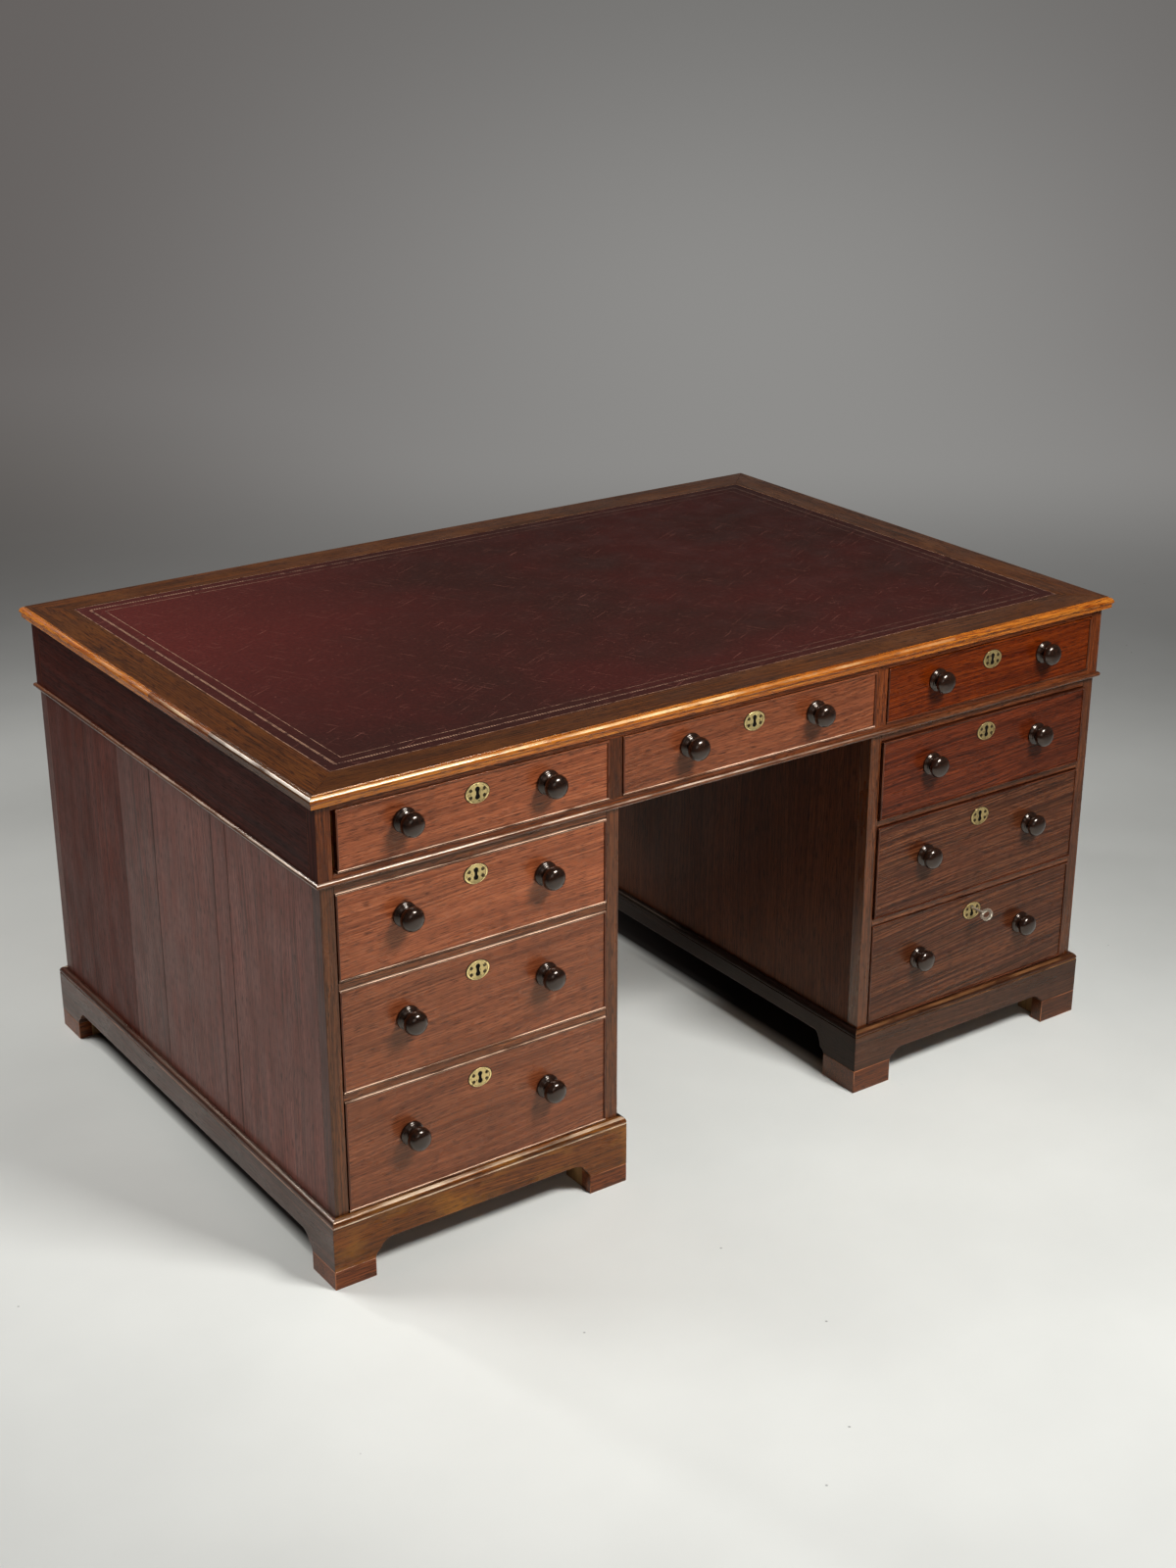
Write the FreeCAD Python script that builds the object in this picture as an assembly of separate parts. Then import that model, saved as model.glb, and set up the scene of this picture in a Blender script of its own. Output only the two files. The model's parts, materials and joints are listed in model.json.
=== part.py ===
import FreeCAD, Part
import math
import os
from FreeCAD import Vector

# Partners desk: a leather-lined top on a frieze of drawers, carried by two pedestals on bracket-foot plinths.
# Millimetres. +X runs to the right along the front, the front faces -Y, +Z is up.
# The origin is on the floor, under the middle of the top.

os.makedirs("parts", exist_ok=True)

# ---- Overall form -------------------------------------------------------------------------------
top_thickness = 19.0
frieze_height = 123.0
plinth_height = 115.0
pedestal_width = 498.0
pedestal_depth = 968.0
kneehole_width = 492.0
frieze_step = 3.5            # how far the frieze stands out over the pedestals
top_overhang = 14.0          # how far the top stands out over the frieze
plinth_projection = 11.0     # how far the plinth stands out from the pedestals

# ---- Boards -------------------------------------------------------------------------------------
panel_thickness = 18.0
partition_thickness = 18.0
frame_thickness = 24.0       # stiles and rails of the face frames, front to back
pedestal_stile = 22.0
frieze_end_stile = 23.0
frieze_divider = 23.0
frieze_bay_shift = 3.0       # the middle bay lies this far to the sitter's right
frieze_divider_spacing = 514.0
frieze_bottom_rail = 16.0
frieze_top_rail = 12.0
pedestal_top_board = 13.0
drawer_rail = 11.0
drawer_rail_depth = 50.0
runner_width = 22.0
guide_height = 14.0

# ---- Top ----------------------------------------------------------------------------------------
top_border_width = 68.5
top_edge_inset = 7.2         # flat of the border stops here, at the quirk of the moulding
top_quirk_depth = 1.5
top_nosing_drop = 8.6        # from the flat down to the widest part of the nosing
top_nosing_flat = 2.0
top_lower_inset = 2.5        # the band under the nosing stands back this much
leather_thickness = 1.2
leather_recess = 0.4         # leather lies this far under the wooden border

# ---- Bead round the foot of the frieze ----------------------------------------------------------
bead_height = 9.0
bead_projection = 5.0

# ---- Plinth and feet ----------------------------------------------------------------------------
plinth_board = 24.0
plinth_rebate = 15.0         # the pedestal stands this deep inside the moulded lip
plinth_lip_clearance = 0.3
plinth_ovolo_drop = 9.5
plinth_ovolo_inset = 7.5
plinth_quirk = 1.5
apron_height = 58.0          # underside of the apron over the floor
foot_pad_height = {"left": 31.0, "right": 41.0}
foot_length = {"left": 69.0, "right": 80.0}
bracket_reach = 27.0         # from the foot's inner edge to where the apron starts
bracket_cusp_reach = 10.0
bracket_cusp_step = 2.5
bracket_cove_bow = 0.14      # rise of each curve over its chord, as a share of the chord
bracket_swell_bow = 0.11
corner_block = 44.0

# ---- Pedestal drawers and rails, openings measured upward from the plinth top --------------------
drawer_openings = {"bottom": 184.0, "middle": 166.0, "top": 138.0}

# ---- Drawers ------------------------------------------------------------------------------------
front_gap = 1.0              # all round a drawer front
running_gap = 0.3            # under the drawer sides, over the runners
drawer_rest = {"right_pedestal_top": 4.0, "right_pedestal_middle": 3.0}  # drawers not quite shut
drawer_back_room = 13.0       # between a shut drawer and the partition behind it
drawer_front = 20.0
drawer_side = 10.0
drawer_back = 9.0
drawer_bottom = 6.5
drawer_bottom_height = 8.0   # underside of the bottom board over the lower edge of the front
drawer_groove = 4.0
front_groove = 6.0
side_top_gap = 4.0           # sides stop this far under the top edge of the front
back_top_gap = 16.0
cockbead_width = 3.0
cockbead_depth = 8.0
cockbead_proud = 2.0
tail_length = 11.0
tail_pitch = 48.0
tail_neck_share = 0.5
tail_tip_share = 0.68

# ---- Knobs, locks and key -----------------------------------------------------------------------
knob_facets = 10
knob_spacing = 237.0
centre_knob_spacing = 243.0
knob_above_middle = {"frieze": 6.5, "top": 8.5, "middle": 8.5, "bottom": 5.0}
knob_foot_radius = 19.0
knob_foot_rim = 16.5
knob_foot_thickness = 5.5
knob_neck_radius = 8.5
knob_neck_out = 10.5         # distances out from the face of the drawer
knob_head_radius = 19.0
knob_head_out = 21.0
knob_crown_radius = 15.0
knob_crown_drop = 5.0
knob_tip_radius = 6.0
knob_projection = 34.5
escutcheon_width = 40.0
escutcheon_height = 31.0
escutcheon_thickness = 1.2
escutcheon_facets = 16
escutcheon_from_top = {"frieze": 28.5, "top": 29.0, "middle": 32.5, "bottom": 32.0}
keyhole_radius = 3.6
keyhole_rise = 5.8           # from the middle of the plate up to the round of the keyhole
keyhole_waist = 2.4          # half widths of the slot below the round
keyhole_foot = 3.7
keyhole_drop = 9.6
keyhole_facets = 5
lock_case_width = 52.0
lock_case_height = 42.0
lock_case_thickness = 8.0
lock_wall = 1.2
lock_bolt_width = 24.0
lock_bolt_thickness = 2.4
lock_bolt_height = 24.0
bolt_throw = 6.0
bolt_clearance = 0.6
bolt_pocket_room = 1.3       # round the bolt, in its mortise
key_shank_radius = 2.2
key_clearance = 0.3
key_facets = 10
key_stand_off = 26.0         # from the drawer front to the near edge of the bow
key_bow_radius = 10.5
key_bow_hole = 7.0
key_bow_thickness = 2.4
key_bit_length = 6.0
key_bit_width = 2.0
key_bit_thickness = 2.6
key_rest_turn = 45.0         # how far the key has been left turned, clockwise to the sitter, from where it goes in

# ---- Cupboard doors on the far side -------------------------------------------------------------
door_thickness = 20.0
door_gap = 1.5
door_hinge_gap = 2.2
door_member = 58.0
door_panel = 8.0
door_panel_tongue = 7.0
door_field_raise = 4.0
door_field_margin = 34.0
shelf_thickness = 16.0
shelf_height = 250.0         # underside of the shelf over the bottom board
shelf_setback = 30.0
shelf_batten = 16.0
hinge_length = 63.0
hinge_barrel_radius = 3.6
hinge_pin_radius = 1.5
hinge_pin_clearance = 0.12
hinge_leaf = 0.8
hinge_leaf_width = 17.0
hinge_from_end = 60.0
hinge_facets = 10

# ---- Places worked out from the sizes above -----------------------------------------------------
pedestal_inner = kneehole_width / 2
pedestal_outer = pedestal_inner + pedestal_width
pedestal_front = pedestal_depth / 2
frieze_half_width = pedestal_outer + frieze_step
frieze_front = pedestal_front + frieze_step
top_half_width = frieze_half_width + top_overhang
top_half_depth = frieze_front + top_overhang
drawer_stack = sum(drawer_openings.values()) + drawer_rail * (len(drawer_openings) - 1)
bay_top = plinth_height + drawer_stack             # underside of the pedestal's top board
frieze_underside = bay_top + pedestal_top_board
top_underside = frieze_underside + frieze_height
top_surface_height = top_underside + top_thickness
pedestal_centre = (pedestal_inner + pedestal_outer) / 2
carcass_underside = plinth_height - plinth_rebate
panel_end = pedestal_front - frame_thickness       # side panels run between the stiles
frieze_drawer_floor = frieze_underside + frieze_bottom_rail
frieze_drawer_ceiling = top_underside - frieze_top_rail
SIDES = {"left": -1, "right": 1}


def board(x0, x1, y0, y1, z0, z1):
    """A squared board between two corners, given in any order."""
    low = Vector(min(x0, x1), min(y0, y1), min(z0, z1))
    return Part.makeBox(abs(x1 - x0), abs(y1 - y0), abs(z1 - z0), low)


def prism(points, reach):
    """A closed outline of straight edges, carried along the vector reach."""
    outline = Part.makePolygon(points + [points[0]])
    return Part.Face(outline).extrude(reach)


def regular(radius_x, radius_z, count, y, centre_x=0.0, centre_z=0.0):
    """Corners of a regular outline of count sides, standing in an XZ plane."""
    angles = [2 * math.pi * (i + 0.5) / count for i in range(count)]
    return [Vector(centre_x + radius_x * math.cos(a), y, centre_z + radius_z * math.sin(a)) for a in angles]


def turned(profile, count):
    """A turned piece along -Y, cut to count flats. profile lists (radius, distance out), foot first."""
    rings = [regular(radius, radius, count, -out) for radius, out in profile]
    faces = [Part.Face(Part.makePolygon(rings[0] + [rings[0][0]]))]
    faces.append(Part.Face(Part.makePolygon(rings[-1] + [rings[-1][0]])))
    for near, far in zip(rings, rings[1:]):
        for i in range(count):
            j = (i + 1) % count
            corners = [near[i], near[j], far[j], far[i], near[i]]
            faces.append(Part.Face(Part.makePolygon(corners)))
    solid = Part.Solid(Part.makeShell(faces))
    if solid.Volume < 0:
        solid.reverse()
    return solid


def line(a, b):
    """An edge in the section plane of a run: a and b are (inward, up)."""
    return Part.makeLine(Vector(0, a[0], a[1]), Vector(0, b[0], b[1]))


def arc(a, middle, b):
    """An arc in the section plane of a run, through three (inward, up) points."""
    return Part.Arc(*[Vector(0, p[0], p[1]) for p in (a, middle, b)]).toShape()


def quarter(a, b):
    """A convex quarter round from the outer low point a to the inner high point b."""
    width, height = b[0] - a[0], b[1] - a[1]
    bulge = 1 - math.sqrt(0.5)
    return arc(a, (a[0] + width * bulge, b[1] - height * bulge), b)


def mitred_run(length, section, depth):
    """One side of a mitred frame: section swept along X, its outer face at y = 0, its ends cut at 45 degrees."""
    half = length / 2
    bar = Part.Face(Part.Wire(section)).extrude(Vector(length, 0, 0))
    bar.translate(Vector(-half, 0, 0))
    bounds = bar.BoundBox
    low = bounds.ZMin - 1
    corners = [(-half, 0), (half, 0), (half - depth, depth), (-half + depth, depth)]
    keep = prism([Vector(x, y, low) for x, y in corners], Vector(0, 0, bounds.ZLength + 2))
    return bar.common(keep).Solids[0]


def mitred_frame(half_width, half_depth, section, depth, arches=None):
    """Four mitred runs round a rectangle. arches, where given, cuts each run below."""
    runs = []
    for turn in range(4):
        across, out = (half_width, half_depth) if turn % 2 == 0 else (half_depth, half_width)
        run = mitred_run(2 * across, section, depth)
        if arches:
            run = run.cut(arches(across, depth))
        run.translate(Vector(0, -out, 0))
        run.rotate(Vector(0, 0, 0), Vector(0, 0, 1), 90 * turn)
        runs.append(run)
    return runs


def placed(shapes, x, y, z):
    """Copies of shapes moved by x, y and z."""
    return [shape.translated(Vector(x, y, z)) for shape in shapes]


def facing_back(shapes):
    """Copies of shapes turned half round the desk's upright axis."""
    return [shape.rotated(Vector(0, 0, 0), Vector(0, 0, 1), 180) for shape in shapes]


# ---- Top ----------------------------------------------------------------------------------------
def top_border_section():
    """Section of a border board: quirk, thumbnail nosing and the lower band of its moulded edge."""
    flat, low = top_surface_height, top_underside
    quirk = flat - top_quirk_depth
    widest = flat - top_nosing_drop
    return [
        line((top_border_width, low), (top_lower_inset, low)),
        line((top_lower_inset, low), (top_lower_inset, widest - top_nosing_flat)),
        line((top_lower_inset, widest - top_nosing_flat), (0, widest - top_nosing_flat)),
        line((0, widest - top_nosing_flat), (0, widest)),
        quarter((0, widest), (top_edge_inset, quirk)),
        line((top_edge_inset, quirk), (top_edge_inset, flat)),
        line((top_edge_inset, flat), (top_border_width, flat)),
        line((top_border_width, flat), (top_border_width, low)),
    ]


def top_pieces():
    """Mitred mahogany border, the ground panel inside it and the leather laid on the panel."""
    half_x = top_half_width - top_border_width
    half_y = top_half_depth - top_border_width
    leather_top = top_surface_height - leather_recess
    leather_low = leather_top - leather_thickness
    border = mitred_frame(top_half_width, top_half_depth, top_border_section(), top_border_width)
    panel = board(-half_x, half_x, -half_y, half_y, top_underside, leather_low)
    leather = board(-half_x, half_x, -half_y, half_y, leather_low, leather_top)
    return {"top_border": border, "top_panel": [panel], "top_leather": [leather]}


# ---- Frieze -------------------------------------------------------------------------------------
def frieze_dividers():
    """Middle lines of the two uprights between the frieze drawers, as the sitter sees them."""
    half = frieze_divider_spacing / 2
    return frieze_bay_shift - half, frieze_bay_shift + half


def frieze_bays():
    """Name, left edge and right edge of each drawer opening, as the sitter sees them."""
    left, right = frieze_dividers()
    half = frieze_divider / 2
    edge = frieze_half_width - frieze_end_stile
    return [("left", -edge, left - half), ("centre", left + half, right - half), ("right", right + half, edge)]


def frieze_face():
    """Rails and uprights of the side that faces -Y."""
    outer, inner = -frieze_front, -frieze_front + frame_thickness
    edge = frieze_half_width - frieze_end_stile
    pieces = [
        board(-edge, edge, outer, inner, frieze_underside, frieze_drawer_floor),
        board(-edge, edge, outer, inner, frieze_drawer_ceiling, top_underside),
    ]
    for side in SIDES.values():
        pieces.append(board(side * edge, side * frieze_half_width, outer, inner, frieze_underside, top_underside))
    for middle in frieze_dividers():
        half = frieze_divider / 2
        pieces.append(board(middle - half, middle + half, outer, inner, frieze_drawer_floor, frieze_drawer_ceiling))
    return pieces


def frieze_ends():
    """End panels, between the corner stiles."""
    run = frieze_front - frame_thickness
    inner = frieze_half_width - panel_thickness
    return [board(s * inner, s * frieze_half_width, -run, run, frieze_underside, top_underside) for s in SIDES.values()]


def frieze_bearers():
    """Cross partitions, runners and guides behind the face that looks to -Y."""
    start, end = -frieze_front + frame_thickness, -partition_thickness / 2
    half = panel_thickness / 2
    walls = [-frieze_half_width + panel_thickness]
    pieces = []
    for middle in frieze_dividers():
        pieces.append(board(middle - half, middle + half, start, end, frieze_underside, top_underside))
        walls += [middle - half, middle + half]
    walls.append(frieze_half_width - panel_thickness)
    for (name, left, right), wall_left, wall_right in zip(frieze_bays(), walls[::2], walls[1::2]):
        front_left, front_right = frieze_front_edges(name, left, right)
        for wall, edge in ((wall_left, front_left - front_gap), (wall_right, front_right + front_gap)):
            inward = 1 if edge > wall else -1
            low = frieze_drawer_floor - drawer_rail
            pieces.append(board(wall, edge + inward * runner_width, start, end, low, frieze_drawer_floor))
            high = frieze_drawer_floor + guide_height
            pieces.append(board(wall, edge, start, end, frieze_drawer_floor, high))
    return pieces


def frieze_front_edges(name, left, right):
    """Left and right edge of a frieze drawer's front: the side drawers match, the centre one fills its bay."""
    if name == "left":
        narrow = frieze_bays()[2]
        width = narrow[2] - narrow[1] - 2 * front_gap
        return right - front_gap - width, right - front_gap
    return left + front_gap, right - front_gap


def bead_section():
    """Half-round bead, its flat back against the frieze."""
    low, high = frieze_underside, frieze_underside + bead_height
    ends = (bead_projection, low), (bead_projection, high)
    return [arc(ends[0], (0, (low + high) / 2), ends[1]), line(ends[1], ends[0])]


def frieze_pieces():
    """Everything fixed between the pedestals and the top."""
    inner = frieze_half_width - panel_thickness
    half = partition_thickness / 2
    partition = board(-inner, inner, -half, half, frieze_underside, top_underside)
    bead = mitred_frame(frieze_half_width + bead_projection, frieze_front + bead_projection,
                        bead_section(), bead_projection)
    return {
        "frieze_frame": frieze_face() + facing_back(frieze_face()) + frieze_ends(),
        "frieze_bead": bead,
        "frieze_partitions": [partition] + frieze_bearers() + facing_back(frieze_bearers()),
    }


# ---- Pedestals ----------------------------------------------------------------------------------
def drawer_levels():
    """Name, floor and ceiling of each pedestal drawer opening, bottom first."""
    levels, floor = [], plinth_height
    for name, height in drawer_openings.items():
        levels.append((name, floor, floor + height))
        floor += height + drawer_rail
    return levels


def carcass(side):
    """Side panels, top, bottom, partition between drawers and cupboard, and the cupboard's shelf."""
    inside = pedestal_inner + panel_thickness
    outside = pedestal_outer - panel_thickness
    half = partition_thickness / 2
    floor = plinth_height
    shelf_low = floor + shelf_height
    shelf_front = panel_end - shelf_setback
    pieces = [
        board(side * pedestal_inner, side * inside, -panel_end, panel_end, carcass_underside, frieze_underside),
        board(side * outside, side * pedestal_outer, -panel_end, panel_end, carcass_underside, frieze_underside),
        board(side * inside, side * outside, -panel_end, panel_end, carcass_underside, floor),
        board(side * inside, side * outside, -panel_end, panel_end, bay_top, frieze_underside),
        board(side * inside, side * outside, -half, half, floor, bay_top),
        board(side * inside, side * outside, half, shelf_front, shelf_low, shelf_low + shelf_thickness),
    ]
    for wall, inward in ((inside, 1), (outside, -1)):
        batten = wall + inward * shelf_batten
        pieces.append(board(side * wall, side * batten, half, shelf_front, shelf_low - shelf_batten, shelf_low))
    return pieces


def lock_pocket(side):
    """Mortise in the rail over the bottom drawer, for the bolt of the lock that has the key."""
    width = lock_bolt_width / 2 + bolt_pocket_room
    back = drawer_front + lock_case_thickness - lock_wall - bolt_clearance / 2
    middle = -pedestal_front + back - lock_bolt_thickness / 2
    reach = lock_bolt_thickness / 2 + bolt_pocket_room
    low = drawer_levels()[0][2]
    high = low + bolt_throw + bolt_clearance - front_gap
    centre = side * pedestal_centre
    return board(centre - width, centre + width, middle - reach, middle + reach, low, high)


def face_frame(side):
    """Stiles at the four corners, and the rails between them at front and back."""
    near = pedestal_inner + pedestal_stile
    far = pedestal_outer - pedestal_stile
    front, behind = -pedestal_front, -panel_end
    pieces = []
    for facing in (-1, 1):
        y0, y1 = facing * pedestal_front, facing * panel_end
        for a, b in ((pedestal_inner, near), (far, pedestal_outer)):
            pieces.append(board(side * a, side * b, y0, y1, carcass_underside, frieze_underside))
        pieces.append(board(side * near, side * far, y0, y1, carcass_underside, plinth_height))
        pieces.append(board(side * near, side * far, y0, y1, bay_top, frieze_underside))
    for name, floor, ceiling in drawer_levels()[:-1]:
        rail = board(side * near, side * far, front, front + drawer_rail_depth, ceiling, ceiling + drawer_rail)
        if side > 0 and name == "bottom":
            rail = rail.cut(lock_pocket(side))
        pieces.append(rail)
    return pieces


def runners(side):
    """Runners behind the rails, and guides that keep each drawer square to its opening."""
    inside = pedestal_inner + panel_thickness
    outside = pedestal_outer - panel_thickness
    start = -pedestal_front + drawer_rail_depth
    end = -partition_thickness / 2
    guide = pedestal_stile - panel_thickness
    pieces = []
    for wall, inward in ((inside, 1), (outside, -1)):
        for name, floor, ceiling in drawer_levels():
            edge = wall + inward * guide
            pieces.append(board(side * wall, side * edge, -panel_end, end, floor, floor + guide_height))
            if name != "bottom":
                edge = wall + inward * runner_width
                pieces.append(board(side * wall, side * edge, start, end, floor - drawer_rail, floor))
    return pieces


# ---- Plinths ------------------------------------------------------------------------------------
def plinth_section():
    """Section of a plinth board: ovolo lip with a quirk under it, and the rebate that the pedestal stands in."""
    top, seat = plinth_height, carcass_underside
    lip = plinth_projection - plinth_lip_clearance
    under = top - plinth_ovolo_drop
    return [
        line((plinth_board, 0), (0, 0)),
        line((0, 0), (0, under - plinth_quirk)),
        line((0, under - plinth_quirk), (plinth_quirk, under - plinth_quirk)),
        line((plinth_quirk, under - plinth_quirk), (plinth_quirk, under)),
        line((plinth_quirk, under), (0, under)),
        quarter((0, under), (plinth_ovolo_inset, top)),
        line((plinth_ovolo_inset, top), (lip, top)),
        line((lip, top), (lip, seat)),
        line((lip, seat), (plinth_board, seat)),
        line((plinth_board, seat), (plinth_board, 0)),
    ]


def bowed(a, b, share):
    """Three points of a hollow curve from a to b, its rise a share of the chord, to the right of the way."""
    along, up = b[0] - a[0], b[1] - a[1]
    middle = ((a[0] + b[0]) / 2 + up * share, (a[1] + b[1]) / 2 - along * share)
    return a, middle, b


def upright_edge(points, hand):
    """A straight edge through two points, or an arc through three, in the plane y = 0; hand -1 mirrors it."""
    corners = [Vector(hand * x, 0, z) for x, z in points]
    if len(corners) == 2:
        return Part.makeLine(*corners)
    return Part.Arc(*corners).toShape()


def plinth_arch(name):
    """The shape taken out of the bottom of a plinth board, which leaves a bracket foot at each end."""
    foot, pad = foot_length[name], foot_pad_height[name]
    rise = (apron_height - pad) / 2

    def cutter(across, depth):
        inner = across - foot
        low = (inner, pad)
        cusp = (inner - bracket_cusp_reach, pad + rise)
        step = (cusp[0], cusp[1] + bracket_cusp_step)
        end = (inner - bracket_reach, apron_height)
        half = [bowed(low, cusp, bracket_cove_bow), (cusp, step), bowed(step, end, bracket_swell_bow)]
        edges = [upright_edge(points, 1) for points in half] + [upright_edge(points, -1) for points in half]
        edges.append(upright_edge((end, (-end[0], end[1])), 1))
        edges.append(upright_edge((low, (-low[0], low[1])), 1))
        hollow = Part.Face(Part.Wire(Part.__sortEdges__(edges))).extrude(Vector(0, depth, 0))
        return hollow.fuse(board(-across, across, 0, depth, 0, pad))

    return cutter


def plinth(name):
    """Mitred plinth frame with its bracket feet, and the glue blocks in its corners."""
    side = SIDES[name]
    half_x = pedestal_width / 2 + plinth_projection
    half_y = pedestal_front + plinth_projection
    runs = mitred_frame(half_x, half_y, plinth_section(), plinth_board, plinth_arch(name))
    far_x, far_y = half_x - plinth_board, half_y - plinth_board
    near_x, near_y = far_x - corner_block, far_y - corner_block
    for sx in (-1, 1):
        for sy in (-1, 1):
            runs.append(board(sx * near_x, sx * far_x, sy * near_y, sy * far_y, 0, carcass_underside))
    return placed(runs, side * pedestal_centre, 0, 0)


def foot_pads(name):
    """The four L-shaped pads glued under the bracket feet."""
    length, height = foot_length[name], foot_pad_height[name]
    half_x = pedestal_width / 2 + plinth_projection
    half_y = pedestal_front + plinth_projection
    pads = []
    for sx in (-1, 1):
        for sy in (-1, 1):
            steps = [(0, 0), (length, 0), (length, plinth_board), (plinth_board, plinth_board),
                     (plinth_board, length), (0, length)]
            corners = [Vector(sx * (half_x - a), sy * (half_y - b), 0) for a, b in steps]
            pads.append(prism(corners, Vector(0, 0, height)))
    return placed(pads, SIDES[name] * pedestal_centre, 0, 0)


# ---- Drawers: each is drawn with the middle of its front's lower edge at the origin, and runs to +Y -
def dovetailed_side(width, height, length, hand):
    """A drawer side whose front end is cut to a row of tails."""
    low, high = running_gap - front_gap, height - side_top_gap
    count = max(2, round((high - low) / tail_pitch))
    pitch = (high - low) / count
    outline = [(length, low), (drawer_front, low)]
    for i in range(count):
        middle = low + pitch * (i + 0.5)
        neck, tip = pitch * tail_neck_share / 2, pitch * tail_tip_share / 2
        end = drawer_front - tail_length
        outline += [(drawer_front, middle - neck), (end, middle - tip), (end, middle + tip), (drawer_front, middle + neck)]
    outline += [(drawer_front, high), (length, high)]
    outer = hand * width / 2
    return prism([Vector(outer, y, z) for y, z in outline], Vector(-hand * drawer_side, 0, 0))


def keyhole(x, z, y0, y1):
    """A keyhole through a board, round the middle of its plate at x and z: a round above a flaring slot."""
    start = math.asin(keyhole_waist / keyhole_radius)
    sweep = (2 * math.pi - 2 * start) / keyhole_facets
    turns = [start - math.pi / 2 + sweep * i for i in range(keyhole_facets + 1)]
    level = z + keyhole_rise
    points = [Vector(x + keyhole_radius * math.cos(t), y0, level + keyhole_radius * math.sin(t)) for t in turns]
    points += [Vector(x - keyhole_foot, y0, z - keyhole_drop), Vector(x + keyhole_foot, y0, z - keyhole_drop)]
    return prism(points, Vector(0, y1 - y0, 0))


def cockbeads(width, height):
    """The four thin strips let into the edges of a drawer front and left a little proud of it."""
    half, rim = width / 2, cockbead_width
    y0, y1 = -cockbead_proud, cockbead_depth
    return [
        board(-half, half, y0, y1, 0, rim),
        board(-half, half, y0, y1, height - rim, height),
        board(-half, -half + rim, y0, y1, rim, height - rim),
        board(half - rim, half, y0, y1, rim, height - rim),
    ]


def drawer_box(width, height, length, lock_level):
    """Front, dovetailed sides, back, bottom in its grooves, and cockbeads."""
    half, inner = width / 2, width / 2 - drawer_side
    rim = cockbead_width
    bottom_top = drawer_bottom_height + drawer_bottom
    sides = [dovetailed_side(width, height, length, hand) for hand in (-1, 1)]
    reach = inner + drawer_groove
    bottom = board(-reach, reach, drawer_front - front_groove, length, drawer_bottom_height, bottom_top)
    back = board(-inner, inner, length - drawer_back, length, bottom_top, height - back_top_gap)
    front = board(-half, half, cockbead_depth, drawer_front, 0, height)
    front = front.fuse(board(-half + rim, half - rim, 0, drawer_front, rim, height - rim)).removeSplitter()
    front = front.cut(sides).cut(bottom)
    front = front.cut(keyhole(0, lock_level, 0, drawer_front))
    sides = [side.cut(bottom) for side in sides]
    return front.Solids + [s.Solids[0] for s in sides] + [back, bottom] + cockbeads(width, height)


def knob():
    """Turned knob: a round foot against the drawer, a neck and a domed head."""
    profile = [
        (knob_foot_radius, 0),
        (knob_foot_rim, knob_foot_thickness),
        (knob_neck_radius, knob_neck_out),
        (knob_head_radius, knob_head_out),
        (knob_crown_radius, knob_projection - knob_crown_drop),
        (knob_tip_radius, knob_projection),
    ]
    return turned(profile, knob_facets)


def drawer_knobs(level, spacing):
    """The pair of knobs on a drawer, at the height level."""
    return placed([knob()], -spacing / 2, 0, level) + placed([knob()], spacing / 2, 0, level)


def escutcheon(z):
    """Oval brass plate with its keyhole, flat on the wood."""
    plate = prism(regular(escutcheon_width / 2, escutcheon_height / 2, escutcheon_facets, 0, 0, z),
                  Vector(0, -escutcheon_thickness, 0))
    return plate.cut(keyhole(0, z, -escutcheon_thickness, 0))


def lock_case(height):
    """The lock's closed case, screwed to the back of the drawer front."""
    half = lock_case_width / 2
    y1 = drawer_front + lock_case_thickness
    return board(-half, half, drawer_front, y1, height - lock_case_height, height)


def open_lock_case(height, key_level):
    """The case of the lock that holds the key: hollow, with a slot for the bolt and a close hole for the key."""
    half = lock_case_width / 2 - lock_wall
    y0, y1 = drawer_front + lock_wall, drawer_front + lock_case_thickness - lock_wall
    hollow = board(-half, half, y0, y1, height - lock_case_height + lock_wall, height - lock_wall)
    slot_half = lock_bolt_width / 2 + bolt_clearance / 2
    slot = board(-slot_half, slot_half, y1 - lock_bolt_thickness - bolt_clearance, y1, height - 2 * lock_wall, height)
    radius = key_shank_radius + key_clearance
    hole = prism(regular(radius, radius, key_facets, drawer_front, 0, key_level), Vector(0, lock_wall, 0))
    bit_half = key_bit_thickness / 2 + key_clearance
    way = board(-bit_half, bit_half, drawer_front, y0, key_level - key_bit_length - key_clearance, key_level)
    return lock_case(height).cut([hollow, slot, hole, way]).Solids[0]


def lock_bolt(height):
    """The bolt, shown drawn down: its head is level with the case."""
    half = lock_bolt_width / 2
    y1 = drawer_front + lock_case_thickness - lock_wall - bolt_clearance / 2
    return board(-half, half, y1 - lock_bolt_thickness, y1, height - lock_bolt_height, height)


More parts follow.
